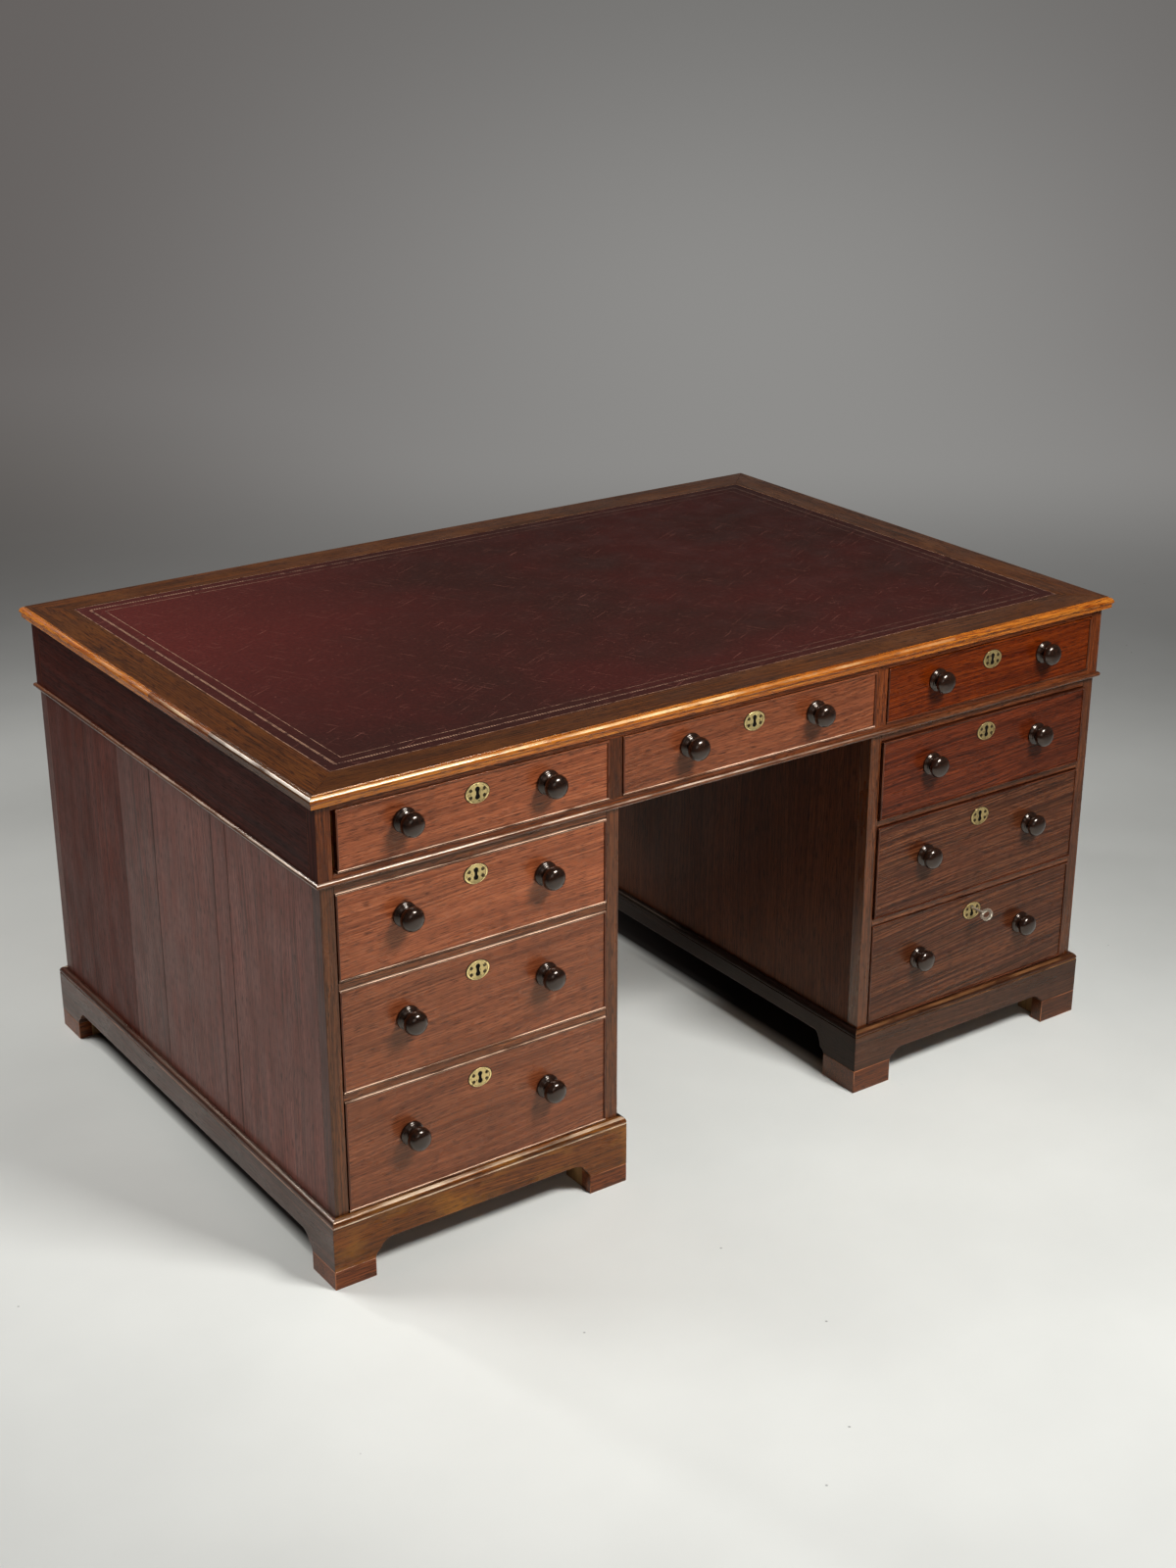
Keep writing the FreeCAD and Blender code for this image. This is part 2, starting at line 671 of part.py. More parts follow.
def key(z):
    """Key of turned steel at the height z: flat ring bow, shank and bit, left part turned in its lock."""
    reach = drawer_front + lock_wall + key_bit_width + bolt_clearance
    bow_centre = -key_stand_off - key_bow_radius
    shank_start = -key_stand_off - (key_bow_radius - key_bow_hole) / 2
    shank = prism(regular(key_shank_radius, key_shank_radius, key_facets, shank_start, 0, z),
                  Vector(0, reach - shank_start, 0))
    half = key_bow_thickness / 2
    rings = []
    for radius in (key_bow_radius, key_bow_hole):
        angles = [2 * math.pi * (i + 0.5) / (2 * key_facets) for i in range(2 * key_facets)]
        ring = [Vector(-half, bow_centre + radius * math.sin(a), z + radius * math.cos(a)) for a in angles]
        rings.append(prism(ring, Vector(key_bow_thickness, 0, 0)))
    bow = rings[0].cut(rings[1])
    half = key_bit_thickness / 2
    bit = board(-half, half, reach - key_bit_width, reach, z - key_bit_length, z)
    whole = shank.fuse([bow, bit]).removeSplitter()
    return whole.Solids[0].rotated(Vector(0, 0, z), Vector(0, 1, 0), key_rest_turn)


# ---- Cupboard doors -----------------------------------------------------------------------------
def door_edges(side):
    """Hinge edge and lock edge of a door, and its lower and upper edge."""
    hinge = pedestal_outer - pedestal_stile - door_hinge_gap
    lock = pedestal_inner + pedestal_stile + door_gap
    return side * hinge, side * lock, plinth_height + door_gap, bay_top - door_gap


def door(side):
    """Frame of stiles and rails round a raised panel held in their grooves."""
    hinge, lock, low, high = door_edges(side)
    inward = 1 if lock > hinge else -1
    y0, y1 = pedestal_front - door_thickness, pedestal_front
    a, b = hinge + inward * door_member, lock - inward * door_member
    members = [
        board(hinge, a, y0, y1, low, high),
        board(b, lock, y0, y1, low, high),
        board(a, b, y0, y1, low, low + door_member),
        board(a, b, y0, y1, high - door_member, high),
    ]
    left, right = min(a, b), max(a, b)
    bottom, top = low + door_member, high - door_member
    middle = (y0 + y1) / 2
    tongue = board(left - door_panel_tongue, right + door_panel_tongue, middle - door_panel / 2,
                   middle + door_panel / 2, bottom - door_panel_tongue, top + door_panel_tongue)
    field = raised_field(left, right, bottom, top, middle + door_panel / 2)
    members = [member.cut(tongue).Solids[0] for member in members]
    members[1] = members[1].cut(keyhole(*door_keyhole(side), y0, y1)).Solids[0]
    return members + [tongue.fuse(field).Solids[0]]


def raised_field(left, right, bottom, top, y):
    """The raised middle of a door panel, with its sloping margins."""
    outline = [(left, bottom), (right, bottom), (right, top), (left, top)]
    m = door_field_margin
    raised = [(left + m, bottom + m), (right - m, bottom + m), (right - m, top - m), (left + m, top - m)]
    wires = []
    for points, out in ((outline, 0), (raised, door_field_raise)):
        corners = [Vector(x, y + out, z) for x, z in points]
        wires.append(Part.makePolygon(corners + [corners[0]]))
    return Part.makeLoft(wires, True, True)


def door_keyhole(side):
    """Middle of a door's keyhole in x and z."""
    hinge, lock, low, high = door_edges(side)
    inward = 1 if hinge > lock else -1
    return lock + inward * door_member / 2, (low + high) / 2


def door_lock(side):
    """Brass plate on the face of the door, and the lock case let in behind it."""
    x, z = door_keyhole(side)
    half = lock_case_height / 2
    plate = escutcheon(0).rotated(Vector(0, 0, 0), Vector(0, 0, 1), 180).translated(Vector(x, pedestal_front, z))
    y1 = pedestal_front - door_thickness
    case = board(x - half, x + half, y1 - lock_case_thickness, y1, z - half, z + half)
    return [plate, case]


def hinge_places():
    """Lower end of the barrel of each hinge of a door."""
    low, high = plinth_height + door_gap, bay_top - door_gap
    return low + hinge_from_end, high - hinge_from_end - hinge_length


def hinge_axis(side):
    """Where the pin stands: in the gap at the hinge edge, clear of the door's face."""
    gap_middle = pedestal_outer - pedestal_stile - door_hinge_gap / 2
    return side * gap_middle, pedestal_front + hinge_barrel_radius + running_gap


def barrel(x, y, z0, z1, radius):
    """An upright barrel or pin, cut to flats."""
    angles = [2 * math.pi * (i + 0.5) / hinge_facets for i in range(hinge_facets)]
    return prism([Vector(x + radius * math.cos(a), y + radius * math.sin(a), z0) for a in angles], Vector(0, 0, z1 - z0))


def hinge(side, z):
    """Fixed half, with the pin and the two outer knuckles, and the door's half with the middle knuckle."""
    x, y = hinge_axis(side)
    low, high = z + hinge_length / 3, z + 2 * hinge_length / 3
    gap = running_gap / 2
    pin = barrel(x, y, z, z + hinge_length, hinge_pin_radius)
    hole = barrel(x, y, low, high, hinge_pin_radius + hinge_pin_clearance)
    fixed = [(z, low - gap), (high + gap, z + hinge_length)]
    moving = [(low + gap, high - gap)]
    halves = []
    faces = (side * (pedestal_outer - pedestal_stile), door_edges(side)[0])
    for face, inward, knuckles in zip(faces, (-side, side), (fixed, moving)):
        edge = face + inward * hinge_leaf
        reach = y - hinge_barrel_radius - running_gap
        leaf = board(face, edge, pedestal_front - hinge_leaf_width, reach, z, z + hinge_length)
        tongues = [board(face, edge, reach, y, z0, z1) for z0, z1 in knuckles]
        barrels = [barrel(x, y, z0, z1, hinge_barrel_radius) for z0, z1 in knuckles]
        halves.append(leaf.fuse(tongues + barrels))
    return halves[0].fuse(pin).removeSplitter().Solids, halves[1].cut(hole).removeSplitter().Solids


# ---- The whole desk -----------------------------------------------------------------------------
def add_drawer(nodes, name, kind, size, spacing, place, back=False):
    """Add a drawer's box, knobs and lock as three nodes. kind names its row; size is width, height and length."""
    height = size[1]
    lock_level = height - escutcheon_from_top[kind]
    sets = {
        name + "_drawer": drawer_box(*size, lock_level),
        name + "_knobs": drawer_knobs(height / 2 + knob_above_middle[kind], spacing),
        name + "_lock": [escutcheon(lock_level), lock_case(height)],
    }
    for node, solids in sets.items():
        solids = placed(solids, *place)
        nodes[node] = facing_back(solids) if back else solids


def add_frieze_drawers(nodes):
    """Three drawers to each side. Left and right are the sitter's on that side."""
    height = frieze_drawer_ceiling - frieze_drawer_floor - 2 * front_gap
    length = frieze_front - partition_thickness / 2 - drawer_back_room
    for back in (False, True):
        for bay, left, right in frieze_bays():
            a, b = frieze_front_edges(bay, left, right)
            spacing = centre_knob_spacing if bay == "centre" else knob_spacing
            name = ("back" if back else "front") + "_frieze_" + bay
            place = ((a + b) / 2, -frieze_front, frieze_drawer_floor + front_gap)
            add_drawer(nodes, name, "frieze", (b - a, height, length), spacing, place, back)


def add_pedestal_drawers(nodes):
    """Three drawers down the front of each pedestal. The right bottom lock holds the key."""
    width = pedestal_width - 2 * pedestal_stile - 2 * front_gap
    length = pedestal_front - partition_thickness / 2 - drawer_back_room
    for hand, side in SIDES.items():
        for level, floor, ceiling in drawer_levels():
            height = ceiling - floor - 2 * front_gap
            name = hand + "_pedestal_" + level
            place = (side * pedestal_centre, -pedestal_front - drawer_rest.get(name, 0), floor + front_gap)
            add_drawer(nodes, name, level, (width, height, length), knob_spacing, place)
            if hand == "right" and level == "bottom":
                lock_level = height - escutcheon_from_top[level]
                key_level = lock_level + keyhole_rise
                nodes[name + "_lock"] = placed([escutcheon(lock_level), open_lock_case(height, key_level)], *place)
                nodes["lock_bolt"] = placed([lock_bolt(height)], *place)
                nodes["key"] = placed([key(key_level)], *place)


def desk():
    """Every node of the desk, as name and list of solids."""
    nodes = {}
    nodes.update(top_pieces())
    nodes.update(frieze_pieces())
    for hand, side in SIDES.items():
        nodes[hand + "_carcass"] = carcass(side)
        nodes[hand + "_face_frame"] = face_frame(side)
        nodes[hand + "_plinth"] = plinth(hand)
        nodes[hand + "_door"] = door(side)
        nodes[hand + "_door_lock"] = door_lock(side)
        halves = [hinge(side, z) for z in hinge_places()]
        nodes[hand + "_door_hinge_leaves"] = [s for fixed, moving in halves for s in moving]
        nodes.setdefault("door_frame_hinges", []).extend(s for fixed, moving in halves for s in fixed)
        nodes.setdefault("drawer_runners", []).extend(runners(side))
        nodes.setdefault("foot_pads", []).extend(foot_pads(hand))
    add_frieze_drawers(nodes)
    add_pedestal_drawers(nodes)
    return nodes


for node_name, node_solids in desk().items():
    Part.makeCompound(node_solids).exportStep("parts/" + node_name + ".step")
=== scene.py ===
import json
import math

import bmesh
import bpy
from mathutils import Matrix, Vector

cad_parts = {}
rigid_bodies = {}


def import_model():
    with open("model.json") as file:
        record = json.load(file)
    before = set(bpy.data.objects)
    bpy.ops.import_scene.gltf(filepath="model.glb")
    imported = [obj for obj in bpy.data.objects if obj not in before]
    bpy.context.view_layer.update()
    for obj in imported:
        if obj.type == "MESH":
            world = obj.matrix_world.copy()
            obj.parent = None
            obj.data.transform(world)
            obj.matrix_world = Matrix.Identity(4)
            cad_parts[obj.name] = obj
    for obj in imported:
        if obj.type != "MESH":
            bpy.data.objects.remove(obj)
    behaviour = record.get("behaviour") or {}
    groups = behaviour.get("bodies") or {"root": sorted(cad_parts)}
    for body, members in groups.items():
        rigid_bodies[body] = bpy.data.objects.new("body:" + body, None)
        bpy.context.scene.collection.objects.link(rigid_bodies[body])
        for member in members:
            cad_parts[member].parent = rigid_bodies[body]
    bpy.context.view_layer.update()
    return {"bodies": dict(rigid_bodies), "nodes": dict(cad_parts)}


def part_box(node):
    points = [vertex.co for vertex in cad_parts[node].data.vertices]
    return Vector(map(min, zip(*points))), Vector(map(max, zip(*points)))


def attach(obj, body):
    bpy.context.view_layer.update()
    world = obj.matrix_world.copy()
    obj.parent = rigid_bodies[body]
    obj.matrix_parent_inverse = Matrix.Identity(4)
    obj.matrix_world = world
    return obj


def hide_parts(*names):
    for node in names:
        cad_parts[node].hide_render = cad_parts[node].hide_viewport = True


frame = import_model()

# ---- Plinths --------------------------------------------------------------------------------------
# Each pedestal stands in a mitred plinth of solid mahogany, sawn below to ogee bracket feet and planed
# above to an ovolo lip. Pine blocks are glued into its corners behind.
mm = 0.001
nodes = frame["nodes"]


def linear(colour):
    """An sRGB hex colour as the linear RGBA that Blender's sockets take."""
    parts = [int(colour[i:i + 2], 16) / 255 for i in (1, 3, 5)]
    return [c / 12.92 if c <= 0.04045 else ((c + 0.055) / 1.055) ** 2.4 for c in parts] + [1.0]


def add(tree, kind, wires=None, **settings):
    """Adds a shader node and returns its outputs. wires gives an input a value, or an output to feed it."""
    made = tree.nodes.new("ShaderNode" + kind)
    for name, value in settings.items():
        setattr(made, name, value)
    for name, value in (wires or {}).items():
        if isinstance(value, bpy.types.NodeSocket):
            tree.links.new(value, made.inputs[name])
        else:
            made.inputs[name].default_value = linear(value) if isinstance(value, str) else value
    return made.outputs


def mix(tree, share, first, second):
    """One colour, or number, blended into another."""
    return add(tree, "MixRGB", {"Fac": share, "Color1": first, "Color2": second})["Color"]


def calc(tree, operation, *values):
    """A sum done by the shader."""
    return add(tree, "Math", dict(enumerate(values)), operation=operation)["Value"]


def ramp(tree, value, low, high, least=0.0, most=1.0, **settings):
    """A value stretched from low..high to least..most, and held there beyond."""
    return add(tree, "MapRange", {"Value": value, "From Min": low, "From Max": high, "To Min": least,
                                  "To Max": most}, **settings)["Result"]


def blank(name):
    """A new material, and its empty node tree."""
    material = bpy.data.materials.new(name)
    material.use_nodes = True
    material.node_tree.nodes.clear()
    return material, material.node_tree


def mahogany(name, dark, middle, light, rubbed, slope=0.0, roughness=0.3, polish=0.4, shine=0.5, patch=None):
    """Solid mahogany under worn French polish: straight grain with darker bands, fine paler streaks, short
    dark pores and a soft shine. Along the arrises the rubbed colour is mixed in: lighter wood where the
    polish has rubbed through, a painted highlight where a piece marks its lit arrises so, and darker wood on
    the face frames. A patch colour adds blotches where it has faded."""
    material, tree = blank(name)
    grain = add(tree, "Attribute", attribute_name="grain")["Vector"]
    board = add(tree, "Attribute", attribute_name="board")["Fac"]
    arris = add(tree, "Attribute", attribute_name="arris")["Fac"]

    def pattern(source, along, across, detail=2.0, low=0.35, high=0.65, least=0.0, most=1.0):
        """Noise whose patches are that many metres along and across the grain, stretched to least..most."""
        sized = add(tree, "Mapping", {"Vector": source, "Rotation": (0, 0, slope),
                                      "Scale": (along, across, across)}, vector_type="TEXTURE")
        noise = add(tree, "TexNoise", {"Vector": sized["Vector"], "Scale": 1.0, "Detail": detail})
        return ramp(tree, noise["Fac"], low, high, least, most)

    wander = pattern(grain, 0.45, 0.12, 1.0, 0.3, 0.7, -7 * mm, 7 * mm)
    lean = add(tree, "CombineXYZ", {"Y": wander})
    waved = add(tree, "VectorMath", {0: grain, 1: lean["Vector"]}, operation="ADD")["Vector"]
    bands = pattern(waved, 0.70, 13 * mm, 4.0, 0.30, 0.70)
    streaks = pattern(waved, 0.32, 2.4 * mm, 2.0, 0.40, 0.68, 0.0, 0.85)
    fleck = pattern(waved, 20 * mm, 1.1 * mm, 1.0, 0.54, 0.66)    # wider than real pores of 0.3 mm, to show
    mottle = pattern(grain, 90 * mm, 0.12, 2.0, 0.3, 0.7, 0.90, 1.10)
    wood = mix(tree, bands, dark, middle)
    wood = mix(tree, streaks, wood, light)
    if patch:
        faded = pattern(grain, 0.11, 38 * mm, 3.0, 0.48, 0.66, 0.0, 0.8)
        wood = mix(tree, faded, wood, patch)
    pores = mix(tree, fleck, "#ffffff", "#86695c")
    wood = add(tree, "MixRGB", {"Fac": 1.0, "Color1": wood, "Color2": pores}, blend_type="MULTIPLY")["Color"]
    value = calc(tree, "MULTIPLY", board, mottle)
    wood = add(tree, "HueSaturation", {"Color": wood, "Value": value})["Color"]
    # arris marks: real wear, and on lit arrises a painted highlight
    wear = pattern(grain, 90 * mm, 30 * mm, 4.0, 0.40, 0.60, 0.10, 0.95)
    wear = calc(tree, "MULTIPLY", wear, arris)
    wood = mix(tree, wear, wood, rubbed)
    dull = pattern(grain, 0.09, 30 * mm, 3.0, 0.35, 0.65, roughness - 0.05, roughness + 0.08)
    dull = mix(tree, fleck, dull, "#b0b0b0")
    relief = calc(tree, "SUBTRACT", streaks, fleck)
    bump = add(tree, "Bump", {"Height": relief, "Strength": 0.25, "Distance": 0.12 * mm})["Normal"]
    shader = add(tree, "BsdfPrincipled", {
        "Base Color": wood, "Roughness": dull, "Normal": bump, "IOR": 1.5, "Specular IOR Level": shine,
        "Specular Tint": "#ffdcb4", "Coat Weight": polish, "Coat Roughness": 0.16, "Coat IOR": 1.5,
    })
    add(tree, "OutputMaterial", {"Surface": shader["BSDF"]})
    return material


def pine(name, pale, dark):
    """Planed pine left bare: pale yellow-brown, with broad soft growth bands and no shine."""
    material, tree = blank(name)
    grain = add(tree, "Attribute", attribute_name="grain")["Vector"]
    sized = add(tree, "Mapping", {"Vector": grain, "Scale": (0.5, 7 * mm, 7 * mm)}, vector_type="TEXTURE")
    bands = add(tree, "TexNoise", {"Vector": sized["Vector"], "Scale": 1.0, "Detail": 3.0})["Fac"]
    share = ramp(tree, bands, 0.4, 0.62)
    wood = mix(tree, share, pale, dark)
    bump = add(tree, "Bump", {"Height": bands, "Strength": 0.2, "Distance": 0.2 * mm})["Normal"]
    shader = add(tree, "BsdfPrincipled", {"Base Color": wood, "Roughness": 0.62, "Normal": bump})
    add(tree, "OutputMaterial", {"Surface": shader["BSDF"]})
    return material


def boards_of(node):
    """The faces of each board of a CAD node. A board is whole once every edge has met its mate."""
    mesh = nodes[node].data
    first = {}
    found, faces, open_edges = [], [], set()
    corner = [first.setdefault(tuple(round(c / mm, 2) for c in v.co), v.index) for v in mesh.vertices]
    for face in mesh.polygons:
        ring = [corner[i] for i in face.vertices]
        faces.append([mesh.vertices[i].co for i in ring])
        for edge in zip(ring, ring[1:] + ring[:1]):
            if edge[::-1] in open_edges:
                open_edges.remove(edge[::-1])
            else:
                open_edges.add(edge)
        if not open_edges:
            found.append(faces)
            faces = []
    return found


def box_of(faces):
    """Lowest corner and size of a board."""
    corners = [co for face in faces for co in face]
    low = Vector([min(co[i] for co in corners) for i in range(3)])
    return low, Vector([max(co[i] for co in corners) for i in range(3)]) - low


def softened(faces, round_over):
    """One board as a bmesh, its flats merged and its arrises rounded over. Also returns the rounded faces."""
    one = bmesh.new()
    for face in faces:
        one.faces.new([one.verts.new(co) for co in face])
    bmesh.ops.remove_doubles(one, verts=one.verts, dist=0.01 * mm)
    bmesh.ops.dissolve_limit(one, angle_limit=0.008, verts=one.verts, edges=one.edges)
    rounded = []
    if round_over:
        sharp = [e for e in one.edges if len(e.link_faces) == 2 and e.calc_face_angle() > 0.6]
        rounded = bmesh.ops.bevel(one, geom=sharp, offset=round_over * mm, segments=2, profile=0.5,
                                  affect="EDGES", clamp_overlap=True)["faces"]
    return one, set(rounded)


def placed(name, made, materials):
    """An object made from a bmesh, shaded sharp where its faces meet at more than 50 degrees."""
    mesh = bpy.data.meshes.new(name)
    made.to_mesh(mesh)
    made.free()
    for material in materials:
        mesh.materials.append(material)
    mesh.set_sharp_from_angle(angle=math.radians(50))
    piece = bpy.data.objects.new(name, mesh)
    bpy.context.scene.collection.objects.link(piece)
    return piece


def joinery(name, node, body, finish):
    """A piece made from a CAD node's boards. finish(number, low, size) gives a board's material, the axis
    its grain follows, the round-over of its arrises in millimetres and, if it isn't 1, how light it is, or
    None for a board that isn't in the piece."""
    whole = bmesh.new()
    grain = whole.loops.layers.float_vector.new("grain")
    tone = whole.faces.layers.float.new("board")
    arris = whole.faces.layers.float.new("arris")
    materials = []
    seed = sum(map(ord, name)) * 0.173
    for number, faces in enumerate(boards_of(node)):
        low, size = box_of(faces)
        made = finish(number, low, size)
        if made is None:
            continue
        material, along, round_over, *shade = made
        if material not in materials:
            materials.append(material)
        rest = sorted((axis for axis in range(3) if axis != along), key=lambda axis: -size[axis])
        order = [along] + rest
        start = Vector((seed + number * 1.7, seed * 0.7 + number * 0.9, number * 0.6))
        one, rounded = softened(faces, round_over)
        one.verts.index_update()
        corners = [whole.verts.new(v.co) for v in one.verts]
        for face in one.faces:
            copy = whole.faces.new([corners[v.index] for v in face.verts])
            copy.smooth = True
            copy.material_index = materials.index(material)
            copy[tone] = (shade[0] if shade else 1.0) * (0.93 + 0.14 * ((seed + number * 0.618) % 1))
            copy[arris] = 1.0 if face in rounded else 0.0
            for loop in copy.loops:
                loop[grain] = Vector([loop.vert.co[axis] for axis in order]) + start
        one.free()
    piece = placed(name, whole, materials)
    weighted = piece.modifiers.new("flat faces stay flat", "WEIGHTED_NORMAL")
    weighted.keep_sharp = True
    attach(piece, body)
    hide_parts(node)
    return piece


def longest(size):
    """The axis along a board."""
    return max(range(3), key=lambda axis: size[axis])


def rub(piece, wear):
    """Sets how far the polish has rubbed through on each face, and how strong a painted highlight lies there,
    by wear(middle, normal), or leaves it where that is None. Long faces are first cut every 100 mm, so that
    the wear and the highlight can fade along a board."""
    cut = bmesh.new()
    cut.from_mesh(piece.data)
    for axis in (0, 1):
        for i in range(-7, 8):
            place = [0.1 * i if a == axis else 0 for a in range(3)]
            bmesh.ops.bisect_plane(cut, geom=cut.verts[:] + cut.edges[:] + cut.faces[:], plane_co=place,
                                   plane_no=[float(a == axis) for a in range(3)])
    marks = cut.faces.layers.float["arris"]
    for face in cut.faces:
        worn = wear(face.calc_center_median(), face.normal)
        if worn is not None:
            face[marks] = max(0.0, worn)
    cut.to_mesh(piece.data)
    cut.free()


plinth_mahogany = mahogany("french_polished_mahogany_plinth", "#331805", "#56290a", "#7c4212", "#ecd0b0",
                           roughness=0.28, polish=0.2, shine=0.35, patch="#825216")
plinth_side_mahogany = mahogany("darkened_mahogany_plinth_sides", "#210d08", "#3a1a12", "#532a1e", "#94705e",
                                roughness=0.3, polish=0.2, shine=0.4)
# Painted shade: the plinth boards along the kneehole are near black for the shade that falls there.
kneehole_plinth_shade_mahogany = mahogany("blackened_mahogany_plinth_sides", "#120a08", "#1e120e", "#2a1a15",
                                    "#3a2820", roughness=0.34, polish=0.0, shine=0.15)
dark_plinth_mahogany = mahogany("french_polished_dark_mahogany_plinth", "#281309", "#422213", "#5c3420",
                                "#b07848", roughness=0.3, polish=0.2, shine=0.3)
corner_pine = pine("planed_pine_blocks", "#a27a4a", "#7d5730")
apron, cusp = 58.0, 51.5    # millimetres up to the arches and to their cusps
kneehole_lift, plinth_board = 18.0, 26.0    # the board along the kneehole is sawn higher by this
plinth_face, lip_foot, kneehole_reach = 0.47, 0.1, 0.3
for hand, front_wood, front_shade in (("left", plinth_mahogany, 1.1), ("right", dark_plinth_mahogany, 0.88)):
    def finish(number, low, size):
        """Front and back boards, then the boards along the sides, and glue blocks behind them."""
        if number > 3:
            return corner_pine, 2, 0.6
        if number % 2 == 0:
            return front_wood, 0, 1.0, front_shade
        # the boards along the kneehole take the near-black painted shade
        inner = min(abs(low.x), abs(low.x + size.x)) < kneehole_reach
        return kneehole_plinth_shade_mahogany if inner else plinth_side_mahogany, 1, 1.0

    plinth = joinery(hand + "_plinth_joinery", hand + "_plinth", "desk", finish)

    def lip_wear_and_highlight(middle, normal):
        """The front lip is painted bright at the left corner, less to the right, and not at all below it: a
        painted highlight, partly real wear.
        """
        if middle.y < -plinth_face and middle.z > lip_foot and 0.6 < normal.z < 0.93:
            return 0.1 - 1.3 * middle.x if middle.x < 0 else 0.4
        return 0.0 if abs(middle.y) > plinth_face and normal.z < 0.3 else None

    rub(plinth, lip_wear_and_highlight)
    if hand == "right":
        board_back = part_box("right_plinth")[0].x + plinth_board * mm
        for vert in plinth.data.vertices:
            up = vert.co.z / mm
            if vert.co.x < board_back and cusp < up < apron + 2:
                vert.co.z += kneehole_lift * mm * (up - cusp) / (apron - cusp)

# ---- Foot pads ------------------------------------------------------------------------------------
# L-shaped pads of redder mahogany glued under the bracket feet, which raise the desk. Their lower edges
# are scuffed by shoes and brooms.
pad_mahogany = mahogany("worn_mahogany_foot_pads", "#3a1606", "#662c0e", "#86421a", "#a86844",
                        roughness=0.34, polish=0.2, shine=0.35)
joinery("foot_pad_joinery", "foot_pads", "desk",
        lambda number, low, size: (pad_mahogany, 0, 1.2, 1.0 if low.x < 0 else 0.62))

# ---- Pedestal carcasses ---------------------------------------------------------------------------
# Side panels of upright-grained mahogany boards, faded grey-brown by light. Inside are the pine top,
# bottom, partition and shelf of each pedestal, housed between the sides.
end_mahogany = mahogany("faded_mahogany_end_panels", "#3f1a14", "#5d2b22", "#7a4036", "#8a5a4c",
                        roughness=0.36, polish=0.1, shine=0.3)
# Painted shade: the far board of the left end is darker and nearly unshining, for the shade that falls there.
far_end_shade_mahogany = mahogany("darkened_mahogany_far_board", "#32120c", "#4c2018", "#622c20", "#622c20",
                            roughness=0.38, polish=0.0, shine=0.11)
# Painted shade: the pedestal sides inside the kneehole are dark for the shade there.
kneehole_shade_mahogany = mahogany("shaded_mahogany_kneehole_sides", "#38170a", "#4a2311", "#58301a", "#4a2c1c",
                             roughness=0.4, polish=0.0, shine=0.15)
inside_pine = pine("aged_pine_inside", "#8a6238", "#6b4526")


def carcass_finish(number, low, size):
    """Side panels, faded on the outside of the desk and painted dark with shade in the kneehole, and pine
    between them.
    """
    if number > 1:
        return inside_pine, 0, 0.6
    in_kneehole = abs(low.x + size.x / 2) < 0.4
    return kneehole_shade_mahogany if in_kneehole else end_mahogany, 2, 0.3, 1.1 if in_kneehole else 1.0


def refinish(piece, material, chosen, shade=None):
    """Gives the faces that chosen(middle, normal) picks another finish and, if asked, another shade."""
    woods = piece.data.materials
    if material.name not in woods:
        woods.append(material)
    for face in piece.data.polygons:
        if chosen(face.center, face.normal):
            face.material_index = woods.find(material.name)
            if shade:
                piece.data.attributes["board"].data[face.index].value = shade


carcasses = [joinery(hand + "_carcass_joinery", hand + "_carcass", "desk", carcass_finish)
             for hand in ("left", "right")]
end_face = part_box("left_carcass")[0].x
open_joints = (-0.197, -0.149, 0.061)    # the boards of the left end have shrunk apart a little
closed_joints = (0.18, 0.30)    # here only the tone changes
joint_half, joint_depth = 1.5 * mm, 0.8 * mm
board_tones = ((0.30, 1.0), (0.18, 1.2), (0.061, 0.85), (-0.149, 1.05), (-1, 1.16))
joints = bmesh.new()
joints.from_mesh(carcasses[0].data)
tone = joints.faces.layers.float["board"]
cuts = [joint + side * joint_half for joint in open_joints for side in (-1, 0, 1)]
for cut in cuts + list(closed_joints):
    bmesh.ops.bisect_plane(joints, geom=joints.verts[:] + joints.edges[:] + joints.faces[:],
                           plane_co=(0, cut, 0), plane_no=(0, 1, 0))
for joint in open_joints:
    for face in joints.faces:
        middle = face.calc_center_median()
        if abs(middle.x - end_face) < 0.1 * mm and abs(middle.y - joint) < joint_half:
            face[tone] *= 0.4
    for vert in joints.verts:
        if abs(vert.co.x - end_face) < 0.1 * mm and abs(vert.co.y - joint) < 0.1 * mm:
            vert.co.x += joint_depth
for face in joints.faces:
    middle = face.calc_center_median()
    if middle.x < end_face + 1 * mm:
        face[tone] *= next(shade for least, shade in board_tones if middle.y > least)
joints.to_mesh(carcasses[0].data)
joints.free()
# the far board of the left end takes the painted shade
refinish(carcasses[0], far_end_shade_mahogany,
         lambda middle, normal: middle.x < end_face + 1 * mm and middle.y > closed_joints[0])

# ---- Face frames ----------------------------------------------------------------------------------
# Mahogany stiles at the pedestals' corners, with rails tenoned between them above, between and below
# the drawers. They are darker than the drawer fronts.
frame_mahogany = mahogany("french_polished_mahogany_rails", "#34160a", "#572a13", "#76401f", "#241008",
                          roughness=0.28, polish=0.3)
stile_side = 743 * mm    # the stiles' outer sides have faded with the end panels
for hand in ("left", "right"):
    faced = joinery(hand + "_face_frame_joinery", hand + "_face_frame", "desk",
                    lambda number, low, size: (frame_mahogany, longest(size), 0.7,
                                               1.3 if size.x > size.z else 0.95))
    refinish(faced, end_mahogany,
             lambda middle, normal: abs(middle.x) > stile_side and abs(normal.x) > 0.9, 0.62)

# ---- Runners and frieze partitions ----------------------------------------------------------------
# Pine runners and guides glued to the pedestal sides, and the partitions behind the frieze drawers.
# They are seen only with a drawer open.
joinery("drawer_runner_joinery", "drawer_runners", "desk",
        lambda number, low, size: (inside_pine, longest(size), 0.5))
joinery("frieze_partition_joinery", "frieze_partitions", "desk",
        lambda number, low, size: (inside_pine, longest(size), 0.5))

